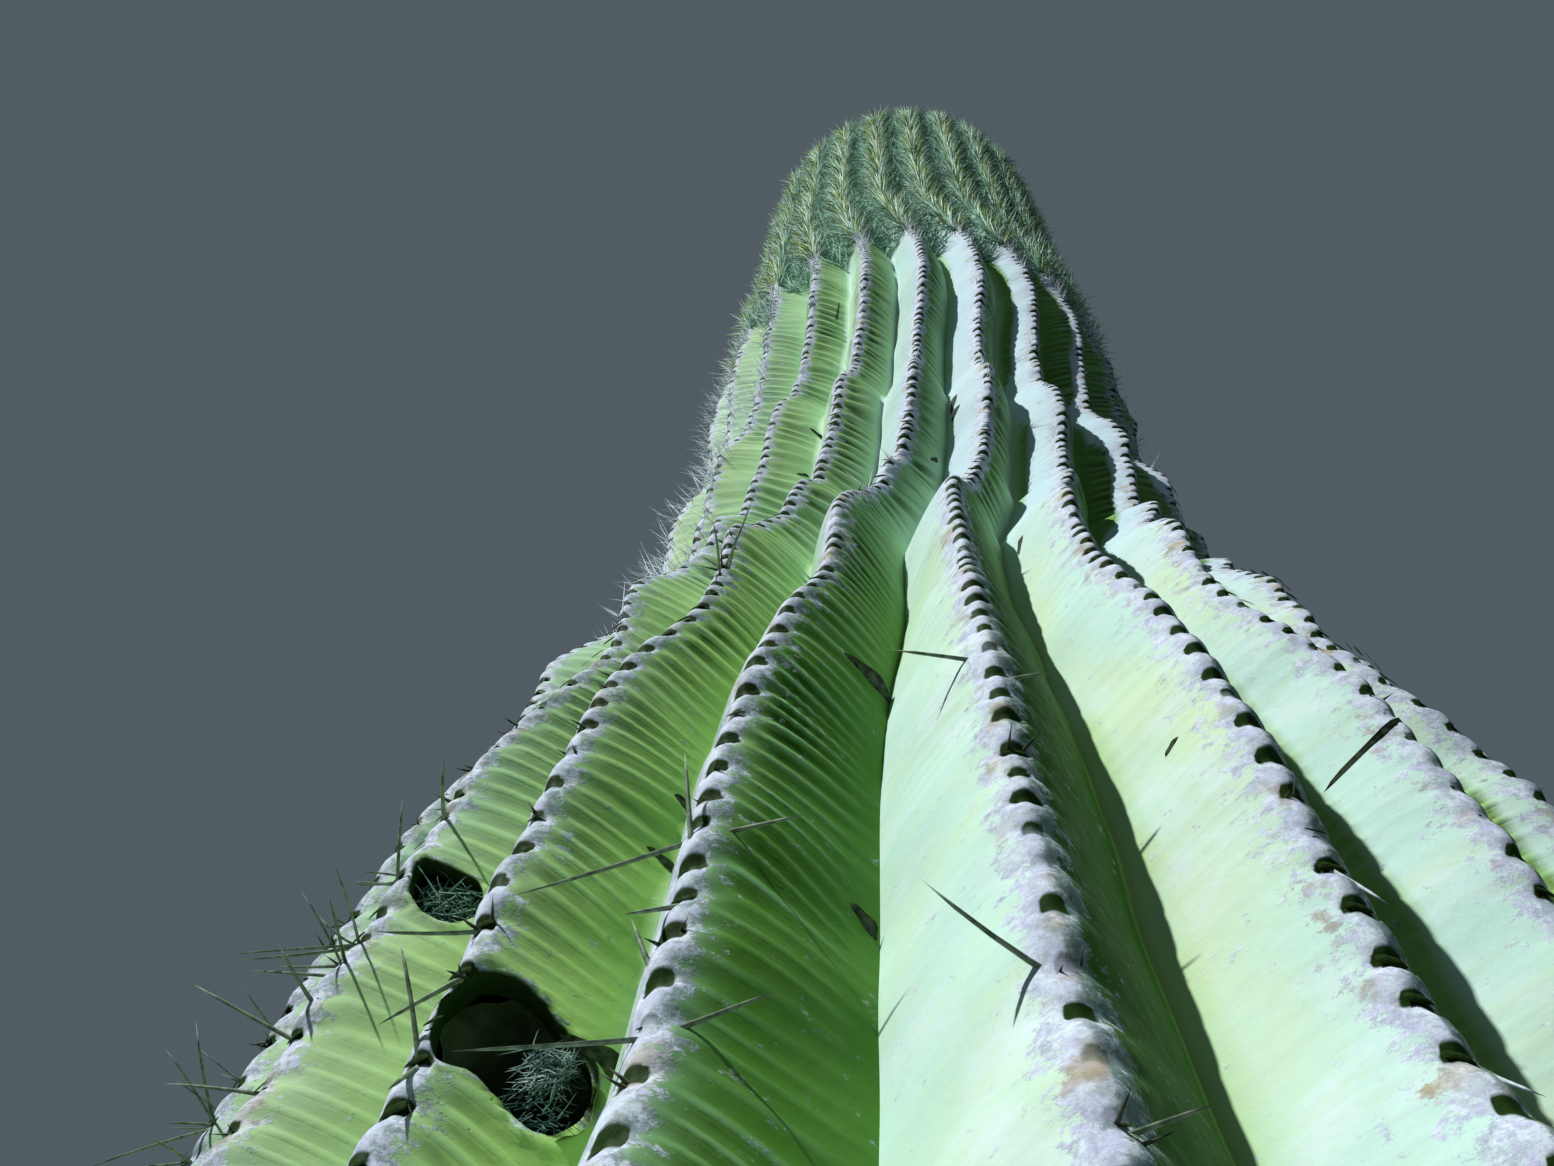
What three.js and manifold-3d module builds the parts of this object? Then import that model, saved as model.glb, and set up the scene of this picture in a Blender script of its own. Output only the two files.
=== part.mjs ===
// Saguaro cactus: one ribbed column from a flat cut at ground level to its domed crown.
// Millimetres, +Z up, origin on the ground at the middle of the cut. Rib 0 faces -Y.
import * as THREE from 'three';
import { mergeVertices } from 'three/addons/utils/BufferGeometryUtils.js';
import Module from 'manifold-3d';

const wasm = await Module();
wasm.setup();

// Ribs
const RIBS = 24;
const RIB_PITCH = 360 / RIBS;
const CREST_HALF_WIDTH = 11;
const CREST_ROUND = 5;
const MOST_CREST_SHARE = 0.22;
const MOST_ROUND_SHARE = 0.3;
const TIP_HEIGHT = 4696;
const LEAN_AT_TIP = 12;

// Radius over the rib crests at each height: a flared foot, a wide lower stem, a shoulder and
// waist where growth once stopped, a second stem with a slight belly, a neck, and the dome.
const CREST_RADIUS = [
  [0, 404], [60, 392], [160, 380], [350, 374], [800, 378], [1300, 386], [1700, 376],
  [1850, 353], [2000, 342], [2150, 328], [2270, 306], [2360, 297], [2420, 278], [2480, 260],
  [2540, 254], [2600, 234], [2680, 233], [2800, 237], [2930, 216], [3080, 218], [3220, 230],
  [3360, 226], [3460, 221], [3560, 217], [3700, 211], [4100, 211], [4400, 212], [4520, 200],
  [4600, 170], [4655, 125], [4690, 60],
];

// Depth of the valleys between the ribs at each height.
const RIB_DEPTH = [
  [0, 24], [250, 40], [1700, 46], [2360, 42], [2600, 34], [3400, 32], [4400, 30], [4600, 20],
  [4690, 4],
];

// Degrees that all ribs turn to the right, seen from outside, as they rise.
const TURN = [
  [0, 0], [1200, 1.4], [1700, 0.8], [1950, -0.2], [2200, -1], [2320, -1], [2420, 0], [2520, 4],
  [2600, 6.5], [2750, 9.6], [3000, 12.2], [3250, 15.2], [3360, 14.4], [3500, 10.8], [3800, 3.4],
  [4500, 1.8], [4690, 1.8],
];

// Degrees by which the ribs crowd together on the side that faces -Y.
const CROWDING = [
  [0, 0], [1500, 0], [1900, 2], [2120, 6], [2250, 14], [2420, 11], [2520, 7], [2620, 3],
  [2900, 1.6], [3300, 0.4], [4690, 0],
];

// One rib of the lower stem stands closer to its neighbour.
const SHIFTED_RIB = -1;
const SHIFT_DEGREES = [[0, -1], [1500, -2.5], [2000, -2], [2200, 0], [4690, 0]];

// Rings of the faceted skin: from, to and how many steps between.
const RING_BANDS = [
  [0, 350, 3], [350, 1850, 3], [1850, 2270, 3], [2270, 2450, 3], [2450, 2680, 4],
  [2680, 3600, 8], [3600, 4400, 4], [4400, 4690, 5],
];

// Woodpecker's nest hole, bored along Y into a flank of the lower stem.
const NEST_RIB = -1.81;
const NEST_HEIGHT = 1883;
const NEST_HALF_WIDTH = 22;
const NEST_HALF_HEIGHT = 33;
const NEST_DEPTH = 120;
const NEST_OUT = 60;
const NEST_ON_FLANK = 0.4;
const NEST_SIDES = 16;
const BOOT_WALL = 4;
const BOOT_GAP = 0.3;
const BOOT_LIP = 4;

// Small healed pit where the flank was gnawed.
const PIT_RIB = -2.82;
const PIT_HEIGHT = 2037;
const PIT_RADII = [11, 14, 17];
const PIT_ON_FLANK = 0.4;

// Felt strips with spines along each rib crest, one from the foot to the waist and one above it.
// They start and end at rings of the skin.
const STRIP_SPANS = { low: [350, 2449.8], high: [2450.2, 4632] };
const STRIP_HALF_WIDTH = 6;
const STRIP_THICKNESS = 6;
const SEAT_GAP = 0.4;
const SPINES_PER_STRIP = 4;
const SPINE_BASE = 3;
const SPINE_ROOT = 1.5;
const SPINE_LENGTHS = [22, 48];
const SPINE_TILT = 0.9;

// Felt cap and spines at the growing tip.
const CROWN_RADIUS = 58;
const CROWN_THICKNESS = 12;
const CROWN_SPINES = 14;
const CROWN_SPINE_LENGTH = 26;
const CROWN_SPINE_ROOT = 4.5;
const CROWN_SPREAD = 0.85;
const CROWN_TURN = 2.4;
const CROWN_PEAK = 3;
const TIP_RISE = 6;

const WELD_DISTANCE = 1e-4;
const radians = THREE.MathUtils.degToRad;

// Smooth curve through the points of a table, with no overshoot between them.
function smooth(table, height) {
  const last = table.length - 2;
  const h = Math.min(Math.max(height, table[0][0]), table[last + 1][0]);
  let i = 0;
  while (i < last && h > table[i + 1][0]) i += 1;
  const step = (j) => table[j + 1][0] - table[j][0];
  const slope = (j) => (table[j + 1][1] - table[j][1]) / step(j);
  const tangent = (j) => {
    if (j === 0) return slope(0);
    if (j > last) return slope(last);
    const product = slope(j - 1) * slope(j);
    return product > 0 ? (2 * product) / (slope(j - 1) + slope(j)) : 0;
  };
  const s = (h - table[i][0]) / step(i);
  const blend = 3 * s ** 2 - 2 * s ** 3;
  const value = (1 - blend) * table[i][1] + blend * table[i + 1][1];
  const bend = (s ** 3 - 2 * s ** 2 + s) * tangent(i) + (s ** 3 - s ** 2) * tangent(i + 1);
  return value + bend * step(i);
}

// A seeded stream of numbers from 0 to 1.
function numberStream(seed) {
  let state = seed;
  return () => {
    state = (state * 1664525 + 1013904223) % 4294967296;
    return state / 4294967296;
  };
}

// Direction of a rib, in radians from -Y towards +X, at a height.
function ribAngle(rib, height) {
  const even = rib * RIB_PITCH;
  const shift = rib === SHIFTED_RIB ? smooth(SHIFT_DEGREES, height) : 0;
  const crowd = smooth(CROWDING, height) * Math.sin(radians(even));
  return radians(even + smooth(TURN, height) - crowd + shift);
}

// Radius on a flank, from 0 at the crest to 1 at the valley.
function flankRadius(share, height) {
  return smooth(CREST_RADIUS, height) - share * smooth(RIB_DEPTH, height);
}

function axisX(height) {
  return (LEAN_AT_TIP * height) / TIP_HEIGHT;
}

function onStem(angle, radius, height) {
  return new THREE.Vector3(
    axisX(height) + radius * Math.sin(angle),
    -radius * Math.cos(angle),
    height,
  );
}

function ringHeights() {
  const heights = [0];
  for (const [from, to, steps] of RING_BANDS) {
    for (let i = 1; i <= steps; i += 1) {
      heights.push(from + ((to - from) * i) / steps);
    }
  }
  return heights;
}

// One rib's share of a ring: the two shoulders of its crest with the crest between, then the valley.
function ribPoints(rib, height) {
  const radius = smooth(CREST_RADIUS, height);
  const depth = smooth(RIB_DEPTH, height);
  const angle = ribAngle(rib, height);
  const next = ribAngle(rib + 1, height);
  const half = Math.min(CREST_HALF_WIDTH / radius, (next - angle) * MOST_CREST_SHARE);
  const round = Math.min(CREST_ROUND, depth * MOST_ROUND_SHARE);
  return [
    onStem(angle - half, radius - round, height),
    onStem(angle, radius, height),
    onStem(angle + half, radius - round, height),
    onStem((angle + next) / 2, radius - depth, height),
  ];
}

// A closed surface as a solid, with its faces turned outward if they point in.
function toSolid(geometry) {
  const bare = geometry.clone();
  bare.deleteAttribute('normal');
  bare.deleteAttribute('uv');
  const welded = mergeVertices(bare, WELD_DISTANCE);
  const solidFrom = (corners) => new wasm.Manifold(new wasm.Mesh({
    numProp: 3,
    vertProperties: new Float32Array(welded.attributes.position.array),
    triVerts: new Uint32Array(corners),
  }));
  const solid = solidFrom(welded.index.array);
  if (solid.volume() > 0) return solid;
  return solidFrom(Array.from(welded.index.array).reverse());
}

function toGeometry(solid) {
  const mesh = solid.getMesh();
  const geometry = new THREE.BufferGeometry();
  geometry.setAttribute('position', new THREE.BufferAttribute(mesh.vertProperties, 3));
  geometry.setIndex(new THREE.BufferAttribute(mesh.triVerts, 1));
  geometry.computeVertexNormals();
  return geometry;
}

function indexedGeometry(points, triangles) {
  const geometry = new THREE.BufferGeometry().setFromPoints(points);
  geometry.setIndex(triangles);
  return geometry;
}

// The ribbed column, closed by the flat cut below and a shallow cone at the tip.
function stemSolid() {
  const heights = ringHeights();
  const across = RIBS * 4;
  const points = [];
  const triangles = [];
  for (const height of heights) {
    for (let rib = 0; rib < RIBS; rib += 1) {
      const signed = rib < RIBS / 2 ? rib : rib - RIBS;
      points.push(...ribPoints(signed, height));
    }
  }
  const corner = (ring, column) => ring * across + (column % across);
  for (let ring = 0; ring < heights.length - 1; ring += 1) {
    for (let column = 0; column < across; column += 1) {
      const a = corner(ring, column);
      const b = corner(ring, column + 1);
      const c = corner(ring + 1, column + 1);
      const d = corner(ring + 1, column);
      triangles.push(a, b, c, a, c, d);
    }
  }
  const foot = points.push(onStem(0, 0, 0)) - 1;
  const tip = points.push(onStem(0, 0, TIP_HEIGHT)) - 1;
  const top = heights.length - 1;
  for (let column = 0; column < across; column += 1) {
    triangles.push(foot, corner(0, column + 1), corner(0, column));
    triangles.push(tip, corner(top, column), corner(top, column + 1));
  }
  return toSolid(indexedGeometry(points, triangles));
}

// Outline of the nest hole is a worn oval, so its radius varies round the hole.
function wornOval(turn) {
  return 1 + 0.07 * Math.sin(2 * turn + 0.8) + 0.05 * Math.sin(3 * turn);
}

// Turns a profile of [radius, distance out] about the nest hole's axis, mouth towards -Y.
function nestSolid(profile) {
  const outline = profile.map(([radius, out]) => new THREE.Vector2(radius, out));
  const geometry = new THREE.LatheGeometry(outline, NEST_SIDES);
  const position = geometry.attributes.position;
  const centre = nestCentre();
  for (let i = 0; i < position.count; i += 1) {
    const side = position.getX(i);
    const rise = position.getZ(i);
    const worn = wornOval(Math.atan2(rise, side));
    const tall = (worn * NEST_HALF_HEIGHT) / NEST_HALF_WIDTH;
    const out = position.getY(i);
    position.setXYZ(i, centre.x + side * worn, centre.y - out, centre.z + rise * tall);
  }
  return toSolid(geometry);
}

function nestCentre() {
  const radius = flankRadius(NEST_ON_FLANK, NEST_HEIGHT);
  return onStem(ribAngle(NEST_RIB, NEST_HEIGHT), radius, NEST_HEIGHT);
}

// The bore widens behind its mouth and ends in a rounded back: [radius, distance out].
function borePoints(inset) {
  const width = NEST_HALF_WIDTH - inset;
  return [
    [0, inset - NEST_DEPTH], [width * 0.8, inset - NEST_DEPTH * 0.93],
    [width * 1.15, -NEST_DEPTH * 0.75], [width * 1.15, -NEST_DEPTH * 0.45],
    [width, -NEST_DEPTH * 0.15],
  ];
}

function nestBore() {
  return nestSolid([...borePoints(0), [NEST_HALF_WIDTH, NEST_OUT], [0, NEST_OUT]]);
}

// The corky boot that the cactus grew to line the bore, out to a lip at its mouth.
function nestBoot() {
  const outer = borePoints(BOOT_GAP);
  const inner = borePoints(BOOT_GAP + BOOT_WALL);
  const rim = [[outer.at(-1)[0], BOOT_LIP], [inner.at(-1)[0], BOOT_LIP]];
  return nestSolid([...outer, ...rim, ...inner.reverse()]);
}

function pitSolid() {
  const radius = flankRadius(PIT_ON_FLANK, PIT_HEIGHT);
  const centre = onStem(ribAngle(PIT_RIB, PIT_HEIGHT), radius, PIT_HEIGHT);
  const ball = new THREE.SphereGeometry(1, 10, 6);
  ball.scale(...PIT_RADII);
  ball.translate(centre.x, centre.y, centre.z);
  return toSolid(ball);
}

function trunkGeometry() {
  return toGeometry(stemSolid().subtract(nestBore()).subtract(pitSolid()));
}

// The crest line of a rib with its outward and sideways directions, at one height.
function crestFrame(rib, height) {
  const angle = ribAngle(rib, height);
  const here = onStem(angle, smooth(CREST_RADIUS, height), height);
  const side = new THREE.Vector3(Math.cos(angle), Math.sin(angle), 0);
  const above = onStem(
    ribAngle(rib, height + 1),
    smooth(CREST_RADIUS, height + 1),
    height + 1,
  );
  const along = above.sub(here).normalize();
  const out = side.clone().cross(along).normalize();
  return { here, side, out };
}

// Heights of the rings that a strip passes over, clear of its two ends.
function ringsInside([start, end]) {
  return ringHeights().filter((h) => h > start + 1 && h < end - 1);
}

// Three-sided felt strip that lies along the crest and follows the facets below it.
function stripSolid(rib, span) {
  const heights = [span[0], ...ringsInside(span), span[1]];
  const points = [];
  const triangles = [];
  heights.forEach((height, i) => {
    const { here, side, out } = crestFrame(rib, height);
    const seat = here.clone().addScaledVector(out, SEAT_GAP);
    points.push(seat.clone().addScaledVector(side, -STRIP_HALF_WIDTH));
    points.push(seat.clone().addScaledVector(side, STRIP_HALF_WIDTH));
    points.push(seat.clone().addScaledVector(out, STRIP_THICKNESS));
    if (i === 0) return;
    const low = 3 * (i - 1);
    const high = 3 * i;
    for (let edge = 0; edge < 3; edge += 1) {
      const next = (edge + 1) % 3;
      triangles.push(low + edge, low + next, high + next, low + edge, high + next, high + edge);
    }
  });
  const end = points.length - 3;
  triangles.push(0, 2, 1, end, end + 1, end + 2);
  return toSolid(indexedGeometry(points, triangles));
}

// Three-sided spine from a root point along a direction.
function spineSolid(root, direction, length) {
  const spine = new THREE.ConeGeometry(SPINE_BASE, length, 3, 1);
  spine.translate(0, length / 2, 0);
  const turn = new THREE.Quaternion().setFromUnitVectors(new THREE.Vector3(0, 1, 0), direction);
  spine.applyQuaternion(turn);
  spine.translate(root.x, root.y, root.z);
  return toSolid(spine);
}

function spineRow(rib, span, random) {
  let row = stripSolid(rib, span);
  for (let i = 0; i < SPINES_PER_STRIP; i += 1) {
    const height = nearRing(THREE.MathUtils.lerp(...span, (i + 0.5) / SPINES_PER_STRIP), span);
    const { here, side, out } = crestFrame(rib, height);
    const lean = (random() - 0.5) * SPINE_TILT;
    const drop = (random() - 0.5) * SPINE_TILT;
    const direction = out.clone().addScaledVector(side, lean);
    direction.z += drop;
    direction.normalize();
    const root = here.clone().addScaledVector(out, SEAT_GAP + SPINE_ROOT);
    const length = THREE.MathUtils.lerp(...SPINE_LENGTHS, random());
    row = row.add(spineSolid(root, direction, length));
  }
  return toGeometry(row);
}

// Spines stand where the strip has a corner, so that their roots are inside it.
function nearRing(height, span) {
  const distance = (ring) => Math.abs(ring - height);
  return ringsInside(span).reduce((best, h) => (distance(h) < distance(best) ? h : best));
}

// Felt cap over the growing tip, with a tuft of spines.
function crownGeometry(random) {
  const rim = TIP_HEIGHT - TIP_RISE;
  const profile = [
    new THREE.Vector2(0, TIP_HEIGHT + SEAT_GAP),
    new THREE.Vector2(CROWN_RADIUS, rim + 2 * SEAT_GAP),
    new THREE.Vector2(CROWN_RADIUS * 0.93, rim + CROWN_THICKNESS * 0.6),
    new THREE.Vector2(CROWN_RADIUS * 0.5, rim + CROWN_THICKNESS),
    new THREE.Vector2(0, rim + CROWN_THICKNESS + CROWN_PEAK),
  ];
  const cap = new THREE.LatheGeometry(profile, RIBS);
  cap.rotateX(Math.PI / 2);
  cap.rotateZ(ribAngle(0, TIP_HEIGHT));
  cap.translate(axisX(TIP_HEIGHT), 0, 0);
  let crown = toSolid(cap);
  for (let i = 0; i < CROWN_SPINES; i += 1) {
    const turn = i * CROWN_TURN;
    const share = CROWN_SPREAD * Math.sqrt((i + random()) / CROWN_SPINES);
    const under = TIP_HEIGHT - TIP_RISE * share;
    const root = onStem(turn, share * CROWN_RADIUS, under + CROWN_SPINE_ROOT);
    const direction = new THREE.Vector3(share * Math.sin(turn), -share * Math.cos(turn), 1);
    crown = crown.add(spineSolid(root, direction.normalize(), CROWN_SPINE_LENGTH));
  }
  return toGeometry(crown);
}

function addPart(group, name, geometry, color, roughness) {
  const material = new THREE.MeshStandardMaterial({ color, roughness, metalness: 0 });
  const mesh = new THREE.Mesh(geometry, material);
  mesh.name = name;
  group.add(mesh);
}

const SKIN_GREEN = '#9dbb84';
const CORK_GREY = '#8b8a83';
const SPINE_GREY = '#b5b0a2';
const CROWN_STRAW = '#b3a878';

const saguaro = new THREE.Group();
const random = numberStream(20417);
addPart(saguaro, 'trunk', trunkGeometry(), SKIN_GREEN, 0.55);
addPart(saguaro, 'nest_boot', toGeometry(nestBoot()), CORK_GREY, 0.9);
for (let rib = 0; rib < RIBS; rib += 1) {
  const signed = rib < RIBS / 2 ? rib : rib - RIBS;
  for (const [part, span] of Object.entries(STRIP_SPANS)) {
    const name = `spine_row_${String(rib + 1).padStart(2, '0')}_${part}`;
    addPart(saguaro, name, spineRow(signed, span, random), SPINE_GREY, 0.8);
  }
}
addPart(saguaro, 'crown_felt', crownGeometry(random), CROWN_STRAW, 0.9);

export default saguaro;
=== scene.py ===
import math

import bmesh
import bpy
import numpy as np
from mathutils import Matrix, Vector


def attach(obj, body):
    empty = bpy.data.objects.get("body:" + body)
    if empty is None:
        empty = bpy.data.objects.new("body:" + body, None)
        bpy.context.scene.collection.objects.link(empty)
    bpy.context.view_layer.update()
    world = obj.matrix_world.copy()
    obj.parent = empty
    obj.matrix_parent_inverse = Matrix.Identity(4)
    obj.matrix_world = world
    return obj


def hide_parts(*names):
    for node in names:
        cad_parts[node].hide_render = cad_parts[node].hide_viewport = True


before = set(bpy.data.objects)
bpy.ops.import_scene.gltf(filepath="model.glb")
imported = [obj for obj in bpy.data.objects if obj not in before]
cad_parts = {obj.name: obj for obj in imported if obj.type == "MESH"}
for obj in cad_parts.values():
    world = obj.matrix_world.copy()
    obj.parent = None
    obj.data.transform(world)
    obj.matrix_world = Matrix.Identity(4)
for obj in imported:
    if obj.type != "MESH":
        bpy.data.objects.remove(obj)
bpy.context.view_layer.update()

# Saguaro cactus. Metres and degrees, +Z up, rib 0 faces -Y and ribs count up towards +X.
# The stem's tables are the ones that the solids are made from.
RIBS = 24
PITCH = 360 / RIBS
TIP_HEIGHT = 4.696
LEAN_AT_TIP = 0.012
CREST_RADIUS = [
    (0, 0.404), (0.06, 0.392), (0.16, 0.380), (0.35, 0.374), (0.8, 0.378), (1.3, 0.386),
    (1.7, 0.376), (1.85, 0.353), (2, 0.342), (2.15, 0.328), (2.27, 0.306), (2.36, 0.297),
    (2.42, 0.278), (2.48, 0.260), (2.54, 0.254), (2.6, 0.234), (2.68, 0.233), (2.8, 0.237),
    (2.93, 0.216), (3.08, 0.218), (3.22, 0.230), (3.36, 0.226), (3.46, 0.221), (3.56, 0.217),
    (3.7, 0.211), (4.1, 0.211), (4.4, 0.212), (4.52, 0.200), (4.6, 0.170), (4.655, 0.125),
    (4.69, 0.060),
]
RIB_DEPTH = [
    (0, 0.024), (0.25, 0.040), (1.7, 0.046), (2.36, 0.042), (2.6, 0.034), (3.4, 0.032),
    (4.4, 0.030), (4.6, 0.020), (4.69, 0.004),
]
TURN = [
    (0, 0), (1.2, 1.4), (1.7, 0.8), (1.95, -0.2), (2.2, -1), (2.32, -1), (2.42, 0), (2.52, 4),
    (2.6, 6.5), (2.75, 9.6), (3, 12.2), (3.25, 15.2), (3.36, 14.4), (3.5, 10.8), (3.8, 3.4),
    (4.5, 1.8), (4.69, 1.8),
]
CROWDING = [
    (0, 0), (1.5, 0), (1.9, 2), (2.12, 6), (2.25, 14), (2.42, 11), (2.52, 7), (2.62, 3),
    (2.9, 1.6), (3.3, 0.4), (4.69, 0),
]
SHIFTED_RIB = -1
SHIFT = [(0, -1), (1.5, -2.5), (2, -2), (2.2, 0), (4.69, 0)]

# Areoles: distance between them along a crest, and the notch that each sits in.
AREOLE_GAP = [
    (0, 0.032), (1.2, 0.027), (1.8, 0.024), (2.0, 0.0215), (2.2, 0.0195), (2.4, 0.0175),
    (2.7, 0.0180), (3.0, 0.0195), (3.4, 0.0175), (4.3, 0.015), (4.6, 0.011), (4.69, 0.008),
]
AREOLE_START = 0.05
AREOLE_END = 4.64
RELIEF_SHARE = [
    (0, 1.1), (1.8, 1.05), (2.2, 0.85), (2.5, 0.66), (3.4, 0.62), (4.3, 0.5), (4.69, 0.3),
]
NOTCH_DEPTH = 0.0027
NOTCH_HALF_WIDTH = 0.0047
NOTCH_WALL = 0.21
NOTCH_ARCH = 0.06
LIP_RISE = 0.0003
LIP_HALF_WIDTH = 0.0085
SCALLOP = 0.0004
SHADE_SCALLOP = 0.0009
SCALLOP_PLACE = 0.0070
SCALLOP_HALF_WIDTH = 0.0050
CREST_SHARPNESS = 0.13
CORK_REACH = 0.0110
CORK_REACH_SHADE = 0.0085
FLANK_BULGE = 0.0006
FULL_DEPTH = 0.046

# Pleats on the flanks: distance between them, relief, and how far each drops on its way to the
# valley, by height.
PLEAT_GAP = [
    (0, 0.0125), (1.9, 0.0120), (2.2, 0.0115), (2.5, 0.0175), (3.4, 0.0185), (4.69, 0.014),
]
PLEAT_RISE = 0.0010
PLEAT_DROP = [
    (0, 0.022), (2.38, 0.022), (2.62, -0.018), (3.0, -0.018), (3.2, -0.009), (4.69, -0.009),
]

# The skin's dents and swellings, broad and fine.
UNEVENNESS = 0.0022
FINE_UNEVENNESS = 0.0012

# Seed and size of the waves that shift, bend and weaken pleats, and that make the skin uneven.
PLEAT_SHIFT = (12, 0.13)
PLEAT_WANDER = (15, 0.045)
PLEAT_STRENGTH = (11, 0.13)
BROAD_WAVES = (13, 0.22)
FINE_WAVES = (14, 0.07)

# Heights between which the notches and pleats fade out, the upper stem's looks begin, the young
# skin begins and the worn lower skin ends.
BARE_CROWN = (4.2, 4.6)
UPPER_STEM = (2.2, 2.5)
YOUNG_SKIN = (3.38, 3.52)
WORN_SKIN = (2.06, 1.94)

# Ribs between which the back begins and the painted cool light on the upper stem begins.
BACK = (7.5, 11)
COOL_SIDE = (-1.9, -0.9)

# Nest hole and pit, as in the solids.
NEST_RIB = -1.81
NEST_HEIGHT = 1.883
NEST_OUTLINE = [
    (-0.021, 0.022), (-0.012, 0.033), (0.001, 0.029), (0.010, 0.020), (0.018, 0.012), (0.024, 0.002),
    (0.024, -0.010), (0.017, -0.028), (0.010, -0.029), (0.003, -0.021), (-0.005, -0.014),
    (-0.014, -0.015), (-0.019, -0.005), (-0.020, 0.008),
]
PIT_RIB = -2.82
PIT_HEIGHT = 2.037
PIT_OUTLINE = [
    (-0.014, 0.021), (-0.006, 0.018), (0.003, 0.014), (0.011, 0.010), (0.014, 0.001), (0.012, -0.014),
    (0.006, -0.019), (-0.003, -0.015), (-0.009, -0.008), (-0.013, 0.005),
]
HOLE_ON_FLANK = 0.4

# How each hole's edge turns in, and its lining: shares of the hole's size, and distances in. Then
# the points round its edge, the rise of its callus and how far its cut looks for faces.
NEST_RIM = [(0.98, 0.0012), (0.99, 0.002), (1.03, 0.006)]
NEST_LINING = [
    (1.06, 0.007), (1.0, 0.013), (0.98, 0.024), (1.04, 0.040), (1.08, 0.054), (1.1, 0.070),
    (1.08, 0.086), (0.98, 0.100), (0.75, 0.110), (0.4, 0.116),
]
PIT_RIM = [(0.97, 0.0010), (0.98, 0.002), (1.03, 0.004)]
PIT_LINING = [(1.08, 0.006), (1.04, 0.012), (0.85, 0.016), (0.55, 0.019), (0.25, 0.020)]
NEST_CORNERS = 44
PIT_CORNERS = 26
NEST_CALLUS = 0.0014
PIT_CALLUS = 0.0010
NEAR_HOLE = 2.2

# Directions that the sun comes from and that the pale side faces, from -Y towards +X. The paleness on that
# side is partly a real bleach and partly painted light.
SUN_AZIMUTH = -47
SUN_HEIGHT = 50
BLEACH_AND_LIGHT_AZIMUTH = -32
# By a rib's direction: share of its left flank beyond which its neighbour's cast shadow is painted in, as
# unbleached green.
PAINTED_SHADOW_FROM = [
    (0, 1.10), (8, 0.98), (13, 0.85), (18, 0.87), (29, 0.64), (43, 0.35), (58, 0.08),
    (68, -0.1), (180, -0.1),
]

# How far that share moves with height, where the waists above let the sun in, and the blur of the painted
# shadow's edge.
PAINTED_SHADOW_SHIFT = [
    (0, 0), (2.5, 0), (2.6, -0.10), (2.74, -0.10), (2.8, 0.26), (2.9, 0.26), (2.98, -0.08),
    (4.69, -0.08),
]
PAINTED_SHADOW_BLUR = 0.04


def smooth(table, at):
    """Smooth curve through the points of a table, with no overshoot between them."""
    x, y = np.array(table, float).T
    slope = np.diff(y) / np.diff(x)
    product = slope[:-1] * slope[1:]
    total = np.where(product > 0, slope[:-1] + slope[1:], 1)
    tangent = np.concatenate([slope[:1], np.where(product > 0, 2 * product / total, 0), slope[-1:]])
    at = np.clip(at, x[0], x[-1])
    i = np.clip(np.searchsorted(x, at, side="right") - 1, 0, len(x) - 2)
    step = x[i + 1] - x[i]
    s = (at - x[i]) / step
    blend = 3 * s**2 - 2 * s**3
    bend = (s**3 - 2 * s**2 + s) * tangent[i] + (s**3 - s**2) * tangent[i + 1]
    return (1 - blend) * y[i] + blend * y[i + 1] + bend * step


def step_up(low, high, value):
    """0 at low, 1 at high, smooth between and level beyond."""
    t = np.clip((value - low) / (high - low), 0, 1)
    return t * t * (3 - 2 * t)


def rib_angle(rib, height):
    """Direction of a rib, in radians from -Y towards +X."""
    even = rib * PITCH
    shift = np.where(rib == SHIFTED_RIB, smooth(SHIFT, height), 0)
    crowded = smooth(CROWDING, height) * np.sin(np.radians(even))
    return np.radians(even + smooth(TURN, height) - crowded + shift)


def on_stem(angle, radius, height):
    lean = LEAN_AT_TIP * height / TIP_HEIGHT
    return np.stack([lean + radius * np.sin(angle), -radius * np.cos(angle), height + 0 * angle], -1)


def swell(points, seed, size, count=7):
    """A few crossed waves, about -1 to 1, that vary over the given size in metres."""
    rng = np.random.default_rng(seed)
    total = np.zeros(points.shape[:-1])
    for _ in range(count):
        way = rng.normal(size=3)
        way *= rng.uniform(0.7, 1.4) / np.linalg.norm(way)
        total += np.sin(points @ way * (2 * math.pi / size) + rng.uniform(0, 2 * math.pi))
    return total / math.sqrt(count)


def areole_heights(rib):
    """Heights of the areoles along one rib, from the foot to the crown."""
    rng = np.random.default_rng(500 + rib % RIBS)
    heights = [AREOLE_START + rng.uniform(0, 0.02)]
    while heights[-1] < AREOLE_END:
        heights.append(heights[-1] + float(smooth(AREOLE_GAP, heights[-1])) * rng.uniform(0.76, 1.24))
    return np.array(heights)


AREOLES = {rib: areole_heights(rib) for rib in range(-RIBS // 2, RIBS // 2)}


def signed(rib):
    """A rib's number from -12 to 11."""
    return (rib + RIBS // 2) % RIBS - RIBS // 2


def areole_vigour(rib):
    """How deep and wide each areole's notch is. About three in ten are nearly closed."""
    rng = np.random.default_rng(900 + rib % RIBS)
    count = len(AREOLES[rib])
    closed = rng.uniform(size=count) < 0.3
    vigour = np.where(closed, rng.uniform(0.3, 0.5, count), rng.uniform(0.6, 1.15, count))
    return vigour * (0.75 if signed(rib) <= -3 else 1)


VIGOUR = {rib: areole_vigour(rib) for rib in AREOLES}

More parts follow.
